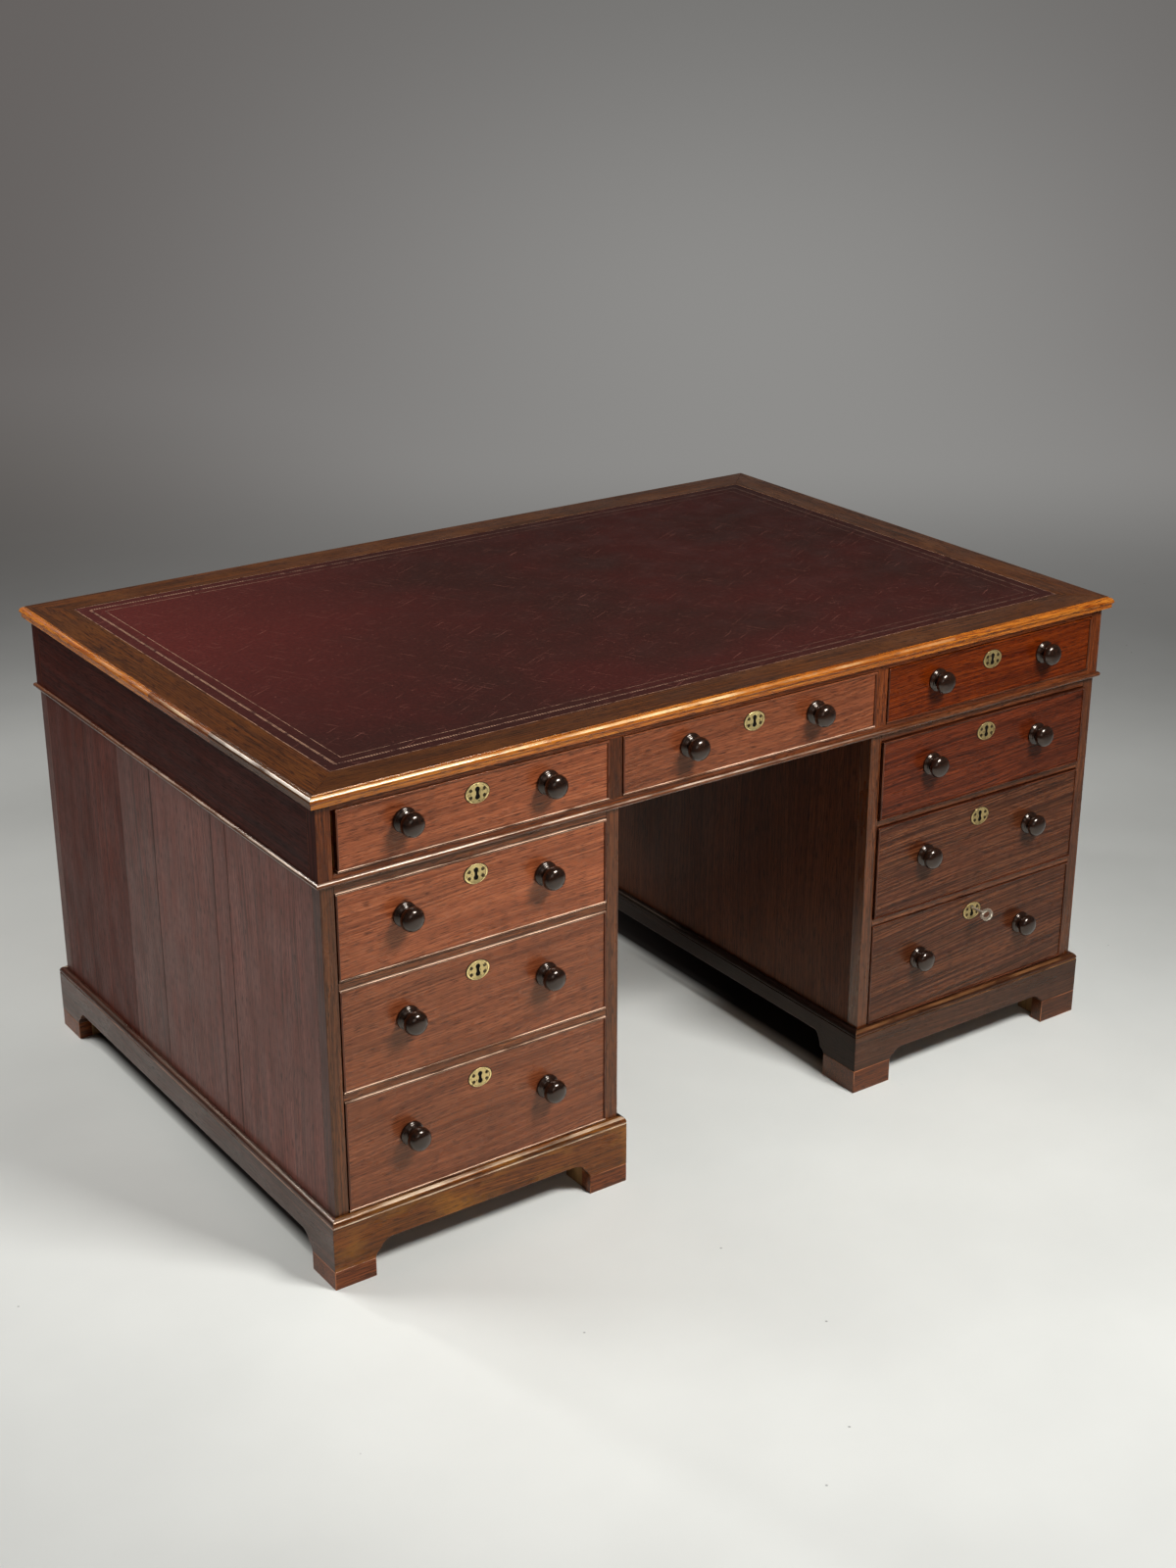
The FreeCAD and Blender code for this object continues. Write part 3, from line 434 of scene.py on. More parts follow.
# ---- Frieze ---------------------------------------------------------------------------------------
# The frame round the upper drawers: mahogany rails and uprights at front and back, end panels that have
# darkened almost to black, and a half-round bead pinned round its foot.
frieze_end_mahogany = mahogany("darkened_mahogany_frieze_ends", "#260a07", "#38130d", "#4a1d14", "#7a4a34",
                               roughness=0.34, polish=0.0, shine=0.04)
bead_mahogany = mahogany("rubbed_mahogany_bead", "#36170c", "#5a2e18", "#784628", "#f4dac2",
                         roughness=0.26, polish=0.5)
frieze_rail_mahogany = mahogany("french_polished_mahogany_frieze_rails", "#3a1606", "#60290c", "#7e401c",
                                "#7e401c", slope=0.02, roughness=0.28, polish=0.3, shine=0.3)
# Painted light: the upper rail is lifted paler against the shadow of the top's overhang.
frieze_shades = {1: 2.6, 4: 0.55}    # the upper rail is paler, and one upright is darker
frieze = joinery("frieze_joinery", "frieze_frame", "desk",
                 lambda number, low, size: (frieze_end_mahogany if number >= 12 else frieze_rail_mahogany,
                                            longest(size), 0.5, frieze_shades.get(number, 1.0)))
frieze_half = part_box("frieze_frame")[1].x - 1 * mm
refinish(frieze, frieze_end_mahogany,
         lambda middle, normal: abs(middle.x) > frieze_half and abs(normal.x) > 0.9)
bead = joinery("frieze_bead_joinery", "frieze_bead", "desk",
               lambda number, low, size: (bead_mahogany, longest(size), 0.3))
left_bead = -0.74


def bead_wear_and_highlight(middle, normal):
    """Painted bright at the near corner, less towards the right and the back: a painted highlight on the
    upper round, partly real wear.
    """
    if not 0.5 < normal.z < 0.9:
        return 0.0
    return min(1.0, 0.35 - 1.3 * middle.y if middle.x < left_bead else 0.4 - 1.2 * middle.x)


rub(bead, bead_wear_and_highlight)

# ---- Top ------------------------------------------------------------------------------------------
# A pine ground panel inside a mitred border of figured mahogany, its edge worked to a nosing that hands
# have worn to a warm orange shine. Along the near half of the left end it has darkened. The crown of the
# nosing there, and at the front less towards the right, is painted pale: a painted highlight, partly real
# wear.
border_mahogany = mahogany("figured_mahogany_border", "#261002", "#441f05", "#68360c", "#c26a24",
                           roughness=0.32, polish=0.1, shine=0.2, patch="#5a300c")
border = joinery("top_border_joinery", "top_border", "desk",
                 lambda number, low, size: (border_mahogany, longest(size), 0.6,
                                            0.85 if number == 0 else 1.05))
nosing_mahogany = mahogany("hand_polished_mahogany_nosing", "#7a3208", "#b45f16", "#d4822a", "#f6d49c",
                           roughness=0.2, polish=0.4, shine=0.8)
dulled_mahogany = mahogany("half_darkened_mahogany_nosing", "#4a1c07", "#7c3c12", "#98521c", "#f4d4a4",
                           roughness=0.21, polish=0.25, shine=0.5)
silvered_mahogany = mahogany("darkened_mahogany_nosing_of_the_end", "#2c1408", "#4c2812", "#6c401e",
                             "#f2e4d2", roughness=0.22, polish=0.15, shine=0.3)
flat_edge = Vector(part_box("top_border")[1]) - Vector((7.5 * mm, 7.5 * mm, 0))


def moulded(place):
    """Whether a place on the border is on its moulded edge."""
    return abs(place.x) > flat_edge.x or abs(place.y) > flat_edge.y


def on_left_board(place):
    """Whether a place on the moulded edge is on the left board, which ends in mitres."""
    return place.x < -flat_edge.x and place.x - place.y < flat_edge.y - flat_edge.x


def darkening(place):
    """How far the moulded edge has darkened: 0 to 2 towards the near end of the left board, 0 elsewhere."""
    if not on_left_board(place):
        return 0
    return 2 if place.y < -0.2 else 1 if place.y < 0.0 else 0


def edge_wear_and_highlight(middle, normal):
    """The crown of the nosing is painted bright along the left end, and at the front less towards the right:
    a painted highlight, partly real wear.
    """
    if not (moulded(middle) and 0.45 < normal.z < 0.85):
        return 0.0
    if on_left_board(middle):
        return min(1.1, 0.4 - 1.9 * middle.y)
    return min(1.0, 0.7 - 1.5 * middle.x) if middle.y < -flat_edge.y else 0.0


rub(border, edge_wear_and_highlight)
for stage, wood in enumerate((nosing_mahogany, dulled_mahogany, silvered_mahogany)):
    refinish(border, wood,
             lambda middle, normal: moulded(middle) and normal.z < 0.995 and darkening(middle) == stage)
joinery("top_ground_joinery", "top_panel", "desk",
        lambda number, low, size: (inside_pine, 0, 0))

# ---- Leather --------------------------------------------------------------------------------------
# A skiver of oxblood calf, pasted down inside the border and trimmed to it. It has darkened in patches
# and is scuffed all over. Gilt lines were rolled into it hot with brass wheels.
leather_low, leather_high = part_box("top_leather")
leather_half = Vector((leather_high.x, leather_high.y))
leather_cells = (140, 88)


def calf(name):
    """Dyed calf, worn: oxblood, painted redder towards the back-left as a painted sheen, with a fine pebble,
    pale scuffs, hair scratches and specks, a soft broken shine and a darker rim outside the gilding."""
    material, tree = blank(name)
    place = add(tree, "TexCoord")["Object"]

    def blotches(size, detail, low, high, least=0.0, most=1.0, stretch=(1, 1, 1)):
        """Noise with patches of that size in metres, stretched to least..most."""
        sized = add(tree, "Mapping", {"Vector": place, "Scale": tuple(size * s for s in stretch)},
                    vector_type="TEXTURE")
        noise = add(tree, "TexNoise", {"Vector": sized["Vector"], "Scale": 1.0, "Detail": detail})
        return ramp(tree, noise["Fac"], low, high, least, most)

    where = add(tree, "SeparateXYZ", {"Vector": place})
    across = calc(tree, "ABSOLUTE", where["X"])
    along = calc(tree, "ABSOLUTE", where["Y"])
    from_end = calc(tree, "SUBTRACT", leather_half.x, across)
    from_side = calc(tree, "SUBTRACT", leather_half.y, along)
    inset = calc(tree, "MINIMUM", from_end, from_side)
    # Painted sheen: the hide is mixed redder towards the back-left, where the lamps' sheen falls.
    left = ramp(tree, where["X"], -0.15, -0.62)
    back = ramp(tree, where["Y"], -0.30, 0.15)
    left = calc(tree, "MULTIPLY", left, back)
    worn = blotches(0.22, 4.0, 0.40, 0.62)
    hide = mix(tree, worn, "#38110c", "#2e110b")
    hide = mix(tree, left, hide, "#4d1712")
    fine = blotches(5 * mm, 3.0, 0.3, 0.7, 0.80, 1.22)
    hide = add(tree, "HueSaturation", {"Color": hide, "Value": fine})["Color"]
    rim = ramp(tree, inset, 20 * mm, 38 * mm, 0.35, 0.0)
    hide = mix(tree, rim, hide, "#2a0d08")
    scuff = blotches(26 * mm, 2.0, 0.64, 0.72, 0.0, 0.2, (1, 0.12, 1))
    scuff_across = blotches(20 * mm, 2.0, 0.66, 0.74, 0.0, 0.15, (0.1, 1, 1))
    scuff = calc(tree, "MAXIMUM", scuff, scuff_across)
    for turn, reach in ((0.5, 80 * mm), (-1.1, 60 * mm)):    # hair scratches, drawn wider than the real ones
        slanted = add(tree, "Mapping", {"Vector": place, "Rotation": (0, 0, turn),
                                        "Scale": (reach, 1.5 * mm, 1)}, vector_type="TEXTURE")
        scratch = add(tree, "TexNoise", {"Vector": slanted["Vector"], "Scale": 1.0, "Detail": 0.0})["Fac"]
        scratch = ramp(tree, scratch, 0.79, 0.84, 0.0, 0.5)
        scuff = calc(tree, "MAXIMUM", scuff, scratch)
    speck = add(tree, "TexVoronoi", {"Vector": place, "Scale": 1 / (17 * mm)})["Distance"]
    speck = ramp(tree, speck, 0.05, 0.08, 0.45, 0.0)
    scuff = calc(tree, "MAXIMUM", scuff, speck)
    hide = mix(tree, scuff, hide, "#8a5548")
    sheen = blotches(60 * mm, 4.0, 0.35, 0.65, 0.44, 0.58)
    pebble = add(tree, "TexVoronoi", {"Vector": place, "Scale": 1 / (2.4 * mm)})["Distance"]
    bump = add(tree, "Bump", {"Height": pebble, "Strength": 0.3, "Distance": 0.12 * mm})["Normal"]
    shader = add(tree, "BsdfPrincipled", {"Base Color": hide, "Roughness": sheen, "Normal": bump, "IOR": 1.45,
                                          "Specular IOR Level": 0.22})
    add(tree, "OutputMaterial", {"Surface": shader["BSDF"]})
    return material


def gilt(name, least):
    """Gold leaf stamped into leather and mostly rubbed away, most of all on the right where the sitter's arm
    lay, down to the least share: dull brown-gold, its breaks showing the hide."""
    material, tree = blank(name)
    place = add(tree, "TexCoord")["Object"]
    noise = add(tree, "TexNoise", {"Vector": place, "Scale": 1 / (14 * mm), "Detail": 4.0})["Fac"]
    left = ramp(tree, noise, 0.34, 0.56)
    along = add(tree, "SeparateXYZ", {"Vector": place})["X"]
    kept = ramp(tree, along, -0.6, 0.0, 1.0, least)
    left = calc(tree, "MULTIPLY", left, kept)
    colour = mix(tree, left, "#371812", "#c09478")
    shine = ramp(tree, left, 0.0, 1.0, 0.0, 0.5)
    shader = add(tree, "BsdfPrincipled", {"Base Color": colour, "Metallic": shine, "Roughness": 0.45})
    add(tree, "OutputMaterial", {"Surface": shader["BSDF"]})
    return material


hide = bmesh.new()
bmesh.ops.create_grid(hide, x_segments=leather_cells[0], y_segments=leather_cells[1], size=1.0)
for vert in hide.verts:
    inset = min(1 - abs(vert.co.x), 1 - abs(vert.co.y))
    ripple = math.sin(vert.co.x * 23 + 3 * math.sin(vert.co.y * 9)) * math.sin(vert.co.y * 17 + 1.3)
    vert.co.x *= leather_half.x
    vert.co.y *= leather_half.y
    vert.co.z = leather_high.z + (0.1 * ripple * min(1, inset * 12) - 0.12) * mm
rim = [e for e in hide.edges if e.is_boundary]
skirt = bmesh.ops.extrude_edge_only(hide, edges=rim)["geom"]
for vert in skirt:
    if isinstance(vert, bmesh.types.BMVert):
        vert.co.z = leather_low.z
bmesh.ops.contextual_create(hide, geom=[e for e in hide.edges if e.is_boundary])
for face in hide.faces:
    face.smooth = True
leather = placed("writing_leather", hide, [calf("pasted_calf_skiver")])
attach(leather, "desk")
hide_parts("top_leather")

gilding = bmesh.new()
gilt_lines = ((0.8, 1.4, 0), (20.0, 4.0, 4.6), (38.5, 1.2, 0))    # inset, width and pitch of the stamps
for inset, width, pitch in gilt_lines:
    half = Vector((leather_half.x - inset * mm, leather_half.y - inset * mm))
    for quarter in range(4):
        turn = Matrix.Rotation(quarter * math.pi / 2, 3, "Z")
        reach, out = (half.x, half.y) if quarter % 2 == 0 else (half.y, half.x)
        stamps = round(2 * reach / (pitch * mm)) if pitch else 1
        for i in range(stamps):
            start = -reach + 2 * reach * i / stamps
            end = start + 2 * reach / stamps * (0.68 if pitch else 1.0)
            ring = [(start, -width / 2), (end, -width / 2), (end, width / 2), (start, width / 2)]
            level = leather_high.z - 0.01 * mm
            stamp = gilding.faces.new([gilding.verts.new(turn @ Vector((x, y * mm - out, level)))
                                       for x, y in ring])
            stamp.material_index = 0 if inset < 1 else 1
gold = [gilt("gold_leaf_line_at_the_edge", 0.8), gilt("rubbed_gold_leaf_tooling", 0.18)]
tooling = placed("gilt_tooling", gilding, gold)
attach(tooling, "desk")

# ---- Drawers --------------------------------------------------------------------------------------
# Mahogany fronts edged with thin cockbeads, half-blind dovetailed to quarter-sawn oak linings. The front
# of each is cut from one board, its grain rising a little to the right.
front_mahogany = mahogany("french_polished_mahogany_fronts", "#622c15", "#804024", "#9c5836", "#9c5836",
                          slope=0.05, roughness=0.27, polish=0.3)
right_front_mahogany = mahogany("french_polished_dark_mahogany_fronts", "#260d05", "#4a2010", "#78462a",
                                "#78462a", slope=0.06, roughness=0.27, polish=0.2, shine=0.25)
warm_front_mahogany = mahogany("french_polished_warm_mahogany_front", "#2e0e04", "#541e0b", "#743216",
                               "#743216", slope=0.06, roughness=0.27, polish=0.2, shine=0.2)
red_front_mahogany = mahogany("french_polished_red_mahogany_front", "#3c1003", "#602005", "#82360c",
                              "#82360c", slope=0.06, roughness=0.27, polish=0.15, shine=0.15)
cockbead_mahogany = mahogany("rubbed_mahogany_cockbeads", "#38170a", "#5a2f1a", "#764628", "#f8ceb0",
                             roughness=0.24, polish=0.2, shine=0.35)
dark_cockbead_mahogany = mahogany("darkened_mahogany_cockbeads", "#1e0a05", "#34140a", "#4c2112", "#6c3a24",
                                  roughness=0.28, polish=0.3, shine=0.3)
lining_oak = pine("quarter_sawn_oak_linings", "#9a7448", "#7c5a34")
drawers = [name[:-len("_drawer")] for name in sorted(frame["bodies"]) if name.endswith("_drawer")]
front_shades = {"front_frieze_left": 1.2, "front_frieze_centre": 0.88, "left_pedestal_top": 1.22,
                "left_pedestal_middle": 0.88, "left_pedestal_bottom": 0.86, "right_pedestal_middle": 0.92}
odd_fronts = {"front_frieze_right": red_front_mahogany, "right_pedestal_top": warm_front_mahogany}
for drawer in drawers:
    usual = right_front_mahogany if drawer.startswith("right") else front_mahogany
    facing = odd_fronts.get(drawer, usual)

    def finish(number, low, size):
        """The front, its linings, and the cockbeads below, above and at its ends."""
        if number == 0:
            return facing, 0, 0.3, front_shades.get(drawer, 1.0)
        if number < 5:
            return lining_oak, 1 if number in (1, 2, 4) else 0, 0
        # a frieze drawer's upper cockbead takes the front's wood, painted darker for the shade under the
        # nosing
        if number == 6 and "frieze" in drawer:
            return facing, 0, 0.5, 0.8
        if "right" in drawer:
            return dark_cockbead_mahogany, longest(size), 1.0
        return (cockbead_mahogany, 0, 0.8) if number < 7 else (dark_cockbead_mahogany, 2, 0.8, 1.6)

    made = joinery(drawer + "_drawer_joinery", drawer + "_drawer", drawer + "_drawer",
                   finish)
    if "right" not in drawer:    # cockbeads painted bright on their upper round and top: a painted highlight, partly real wear
        # Painted highlight: upward cockbead faces take the pale rubbed colour.
        beads = list(made.data.materials).index(cockbead_mahogany)
        marks = made.data.attributes["arris"].data
        for face in made.data.polygons:
            if face.material_index == beads and face.normal.z > 0.3:
                marks[face.index].value = 1.3 if face.normal.z < 0.97 else 0.6

# ---- Knobs ----------------------------------------------------------------------------------------
# Each drawer has two knobs turned in one piece from dark hardwood: a stepped foot, a thin neck and a round
# head with a shallow crown. Polish and handling have made them nearly black and very shiny.
knob_turns = 48
knob_profile = [(0, 0.2), (18.6, 0.2), (19.2, 1.3), (18.9, 3.0), (17.9, 4.6), (17.3, 4.8), (16.9, 5.0),
                (16.6, 5.9), (15.2, 7.0), (14.4, 7.1), (13.9, 7.7), (12.2, 8.6), (10.2, 9.6), (8.9, 10.6),
                (8.6, 11.6), (9.4, 12.8), (12.0, 14.2), (15.4, 16.0), (17.9, 18.6), (18.8, 21.6),
                (18.4, 25.2), (16.6, 28.8), (13.6, 31.6), (9.4, 33.4), (4.6, 34.2), (0, 34.4)]
right_knob_reach = 0.84    # the right-hand knobs are replacements, a little shorter


def knob_wood(name):
    """Dark turned hardwood, French polished on the lathe: nearly black brown, with faint red rings and a hard
    shine."""
    material, tree = blank(name)
    place = add(tree, "TexCoord")["Object"]
    sized = add(tree, "Mapping", {"Vector": place, "Scale": (3 * mm, 30 * mm, 3 * mm)}, vector_type="TEXTURE")
    noise = add(tree, "TexNoise", {"Vector": sized["Vector"], "Scale": 1.0, "Detail": 2.0})["Fac"]
    share = ramp(tree, noise, 0.35, 0.7)
    wood = mix(tree, share, "#150c08", "#2e1a11")
    dull = ramp(tree, noise, 0.0, 1.0, 0.13, 0.26)
    shader = add(tree, "BsdfPrincipled", {"Base Color": wood, "Roughness": dull, "IOR": 1.5,
                                          "Specular Tint": "#f2dcc6", "Coat Weight": 0.5,
                                          "Coat Roughness": 0.1})
    add(tree, "OutputMaterial", {"Surface": shader["BSDF"]})
    return material


def lathe(turned, profile, centre, outward, turns):
    """Adds a turned shape to a bmesh. profile lists (radius, distance out) in millimetres, and outward is -1
    for a piece that faces the sitter and 1 for one on the far side."""
    rings = []
    for radius, out in profile:
        y = centre.y + outward * out * mm
        if radius == 0:
            rings.append([turned.verts.new((centre.x, y, centre.z))])
            continue
        ring = []
        for i in range(turns):
            angle = 2 * math.pi * i / turns
            x, z = centre.x + radius * mm * math.cos(angle), centre.z + radius * mm * math.sin(angle)
            ring.append(turned.verts.new((x, y, z)))
        rings.append(ring)
    for near, far in zip(rings, rings[1:]):
        for i in range(turns):
            j = (i + 1) % turns
            corners = [near[i % len(near)], near[j % len(near)], far[j % len(far)], far[i % len(far)]]
            corners = list(dict.fromkeys(corners))
            turned.faces.new(corners if outward < 0 else corners[::-1]).smooth = True


def shown(name, made, materials, body, slot, *replaced):
    """Turns a bmesh into a piece that rides on a body and stands for CAD nodes."""
    piece = placed(name, made, materials)
    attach(piece, body)
    if replaced:
        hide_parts(*replaced)


knob_hardwood = knob_wood("polished_turned_hardwood")
for drawer in drawers:
    outward = 1 if drawer.startswith("back") else -1
    pair = bmesh.new()
    for faces in boards_of(drawer + "_knobs"):
        low, size = box_of(faces)
        face = low.y + size.y if outward < 0 else low.y
        centre = Vector((low.x + size.x / 2, face, low.z + size.z / 2))
        reach = right_knob_reach if "right" in drawer else 1.0
        lathe(pair, [(radius, out * reach) for radius, out in knob_profile], centre, outward, knob_turns)
    shown(drawer + "_turned_knobs", pair, [knob_hardwood], drawer + "_drawer", "knob", drawer + "_knobs")

# ---- Locks ----------------------------------------------------------------------------------------
# Cast brass: an oval plate with a raised rim, held by four countersunk pins, over each keyhole, and a
# plain case screwed behind it. The plates on the right have been polished less.
plate_half = Vector((19.9, 15.4))
plate_thickness = 1.2
pin_places = [(sx * 11.3, sy * 5.2) for sx in (-1, 1) for sy in (-1, 1)]
pin_profile = [(2.9, -0.3), (2.8, 0.05), (1.5, 0.02), (1.4, -0.2), (1.3, 0.15), (0.8, 0.4), (0, 0.45)]
keyhole_samples = 64
keyhole_slot, keyhole_rounds = 2.5, ((6.0, 3.9), (-5.7, 4.1))    # half width; height and radius of each round


def brass(name, bright, dark, dull, metallic=1.0):
    """Old cast brass, hand polished on its high places: pale yellow metal with brown tarnish in the hollows.
    A lower metallic stands for the milky film of old polish, which scatters light."""
    material, tree = blank(name)
    place = add(tree, "TexCoord")["Object"]
    noise = add(tree, "TexNoise", {"Vector": place, "Scale": 1 / (5 * mm), "Detail": 4.0})["Fac"]
    share = ramp(tree, noise, 0.50, 0.74)
    grime = add(tree, "Attribute", attribute_name="grime")["Fac"]
    share = calc(tree, "MAXIMUM", share, grime)
    metal = mix(tree, share, bright, dark)
    rough = ramp(tree, share, 0.0, 1.0, dull, dull + 0.3)
    bump = add(tree, "Bump", {"Height": noise, "Strength": 0.2, "Distance": 0.1 * mm})["Normal"]
    shader = add(tree, "BsdfPrincipled", {"Base Color": metal, "Metallic": metallic, "Roughness": rough,
                                          "Normal": bump})
    add(tree, "OutputMaterial", {"Surface": shader["BSDF"]})
    return material


def keyhole_shade_paint(name):
    """Nearly black, with no shine: painted shade for the dark depth of the keyhole, and a dark band round the
    plate's edge.
    """
    material, tree = blank(name)
    place = add(tree, "TexCoord")["Object"]
    noise = add(tree, "TexNoise", {"Vector": place, "Scale": 1 / (2 * mm), "Detail": 2.0})["Fac"]
    dirt = mix(tree, noise, "#060403", "#17100b")
    shader = add(tree, "BsdfPrincipled", {"Base Color": dirt, "Roughness": 0.8, "Specular IOR Level": 0.1})
    add(tree, "OutputMaterial", {"Surface": shader["BSDF"]})
    return material


def keyhole_reach(angle):
    """Millimetres from the plate's middle to the edge of its keyhole, at an angle from upright."""
    across, up = abs(math.sin(angle)), math.cos(angle)
    reach = keyhole_slot / across if across > 1e-6 else 1e6
    for centre, radius in keyhole_rounds:
        middle = centre * up
        under = radius ** 2 - (centre * across) ** 2
        if middle > 0 and under > 0 and middle - math.sqrt(under) <= reach:
            return middle + math.sqrt(under)
    return reach


def key_plate(made, centre, outward):
    """The oval plate, its raised rim and its pins. Hollows are marked with grime, and the keyhole is closed
    with painted shade.
    """
    grime = made.faces.layers.float.new("grime")
    # Share of the way from the keyhole's edge to the rim (None is on the edge, past 1 is the dark band on the
    # wood), distance out, and grime.
    steps = [(None, 0.05, 0.0), (None, plate_thickness - 0.3, 1.0), (0.06, plate_thickness - 0.1, 0.2),
             (0.74, plate_thickness - 0.1, 0.3), (0.80, plate_thickness + 0.1, 0.8),
             (0.93, plate_thickness + 0.1, 0.0), (0.98, plate_thickness - 0.2, 0.3), (1.0, 0.0, 0.9),
             (1.06, 0.03, 1.0)]
    rings = []
    for share, out, dirt in steps:
        ring = []
        for i in range(keyhole_samples):
            angle = 2 * math.pi * i / keyhole_samples
            edge = keyhole_reach(angle)
            outer = 1 / math.hypot(math.sin(angle) / plate_half.x, math.cos(angle) / plate_half.y)
            radius = edge if share is None else edge + (outer - edge) * share
            x, z = centre.x + radius * mm * math.sin(angle), centre.z + radius * mm * math.cos(angle)
            ring.append(made.verts.new((x, centre.y + outward * out * mm, z)))
        rings.append(ring)
    for near, far, (share, out, dirt) in zip(rings, rings[1:], steps[1:]):
        for i in range(keyhole_samples):
            j = (i + 1) % keyhole_samples
            corners = [near[i], far[i], far[j], near[j]]
            face = made.faces.new(corners if outward < 0 else corners[::-1])
            face.smooth = True
            face[grime] = dirt
            face.material_index = 1 if share and share > 1 else 0
    # the keyhole is closed with a sheet of painted shade
    hole = made.faces.new(rings[0] if outward < 0 else rings[0][::-1])
    hole.material_index = 1
    for x, z in pin_places:
        spot = centre + Vector((x * mm, outward * (plate_thickness - 0.1) * mm, z * mm))
        first = len(made.faces)
        lathe(made, pin_profile, spot, outward, 16)
        made.faces.ensure_lookup_table()
        for face in made.faces[first:]:
            face[grime] = 1.0


plate_brass = brass("hand_polished_cast_brass", "#fbe09a", "#2c1c08", 0.26, 0.75)
right_brass = brass("tarnished_cast_brass", "#d2b87c", "#2c1c08", 0.3, 0.75)
keyhole_shade = keyhole_shade_paint("grime_in_the_keyhole")
case_brass = brass("tarnished_brass_lock_cases", "#9a7c42", "#57401f", 0.42)
for lock in [drawer + "_lock" for drawer in drawers] + ["left_door_lock", "right_door_lock"]:
    on_door = "_door_" in lock
    body = lock[:-len("_lock")] + ("" if on_door else "_drawer")
    outward = 1 if on_door or lock.startswith("back") else -1
    low, size = box_of(boards_of(lock)[0])
    centre = low + size / 2
    centre.y = low.y if outward > 0 else low.y + size.y
    plate = bmesh.new()
    key_plate(plate, centre, outward)
    metal = right_brass if "right" in lock else plate_brass
    shown(lock + "_key_plate", plate, [metal, keyhole_shade], body, "brass", lock)
    joinery(lock + "_case", lock, body,
            lambda number, low, size: (case_brass, 0, 0.4) if number else None)

# ---- Key and bolt ---------------------------------------------------------------------------------
# A turned steel key left in the lower right-hand drawer: a forged ring bow, a shank with a collar and a
# flat bit, and the brass bolt that it throws.
key_steel = brass("worn_nickelled_steel_key", "#cfc4b0", "#786c5a", 0.22, 0.65)
key = joinery("key_forging", "key", "key", lambda number, low, size: (key_steel, 1, 0.4))
bow_back, bow_gain = -511 * mm, 1.0 * mm    # hammered from bar, the bow is fuller than a flat ring
for vert in key.data.vertices:
    if vert.co.y < bow_back:
        vert.co += vert.normal * bow_gain + Vector((0, bow_gain, 0))
joinery("lock_bolt_bar", "lock_bolt", "lock_bolt", lambda number, low, size: (case_brass, 2, 0.4))

# ---- Cupboard doors and hinges --------------------------------------------------------------------
# On the far side each pedestal has a door: stiles and rails tenoned round a raised and fielded panel, hung
# on two brass butt hinges.
for hand in ("left", "right"):
    joinery(hand + "_door_joinery", hand + "_door", hand + "_door",
            lambda number, low, size: (front_mahogany if number == 4 else frame_mahogany,
                                       2 if number in (0, 1, 4) else 0, 0.7))
    joinery(hand + "_hinge_leaf_pair", hand + "_door_hinge_leaves", hand + "_door",
            lambda number, low, size: (case_brass, 2, 0))
joinery("frame_hinge_halves", "door_frame_hinges", "desk",
        lambda number, low, size: (case_brass, 2, 0))

# ---- Studio ---------------------------------------------------------------------------------------
# A pale painted floor that sweeps up to a grey wall far behind, under soft lamps.
view_turn = math.radians(-34.900)
away = Vector((-math.sin(view_turn), math.cos(view_turn), 0))
beside = Vector((math.cos(view_turn), math.sin(view_turn), 0))
cove_start, cove, cove_steps = 5.5, 1.5, 8
sweep_profile = [(-9.0, 0.0), (-3.0, 0.0), (0.0, 0.0), (3.0, 0.0), (cove_start, 0.0)]
for step in range(1, cove_steps + 1):
    bend = step * math.pi / (2 * cove_steps)
    sweep_profile.append((cove_start + cove * math.sin(bend), cove - cove * math.cos(bend)))
sweep_profile.append((cove_start + cove, 5.0))
# Middle and half size of the painted shadow under each pedestal.
pedestal_middle, pedestal_shadow_half = Vector((0.495, 0.0325)), Vector((0.245, 0.4425))


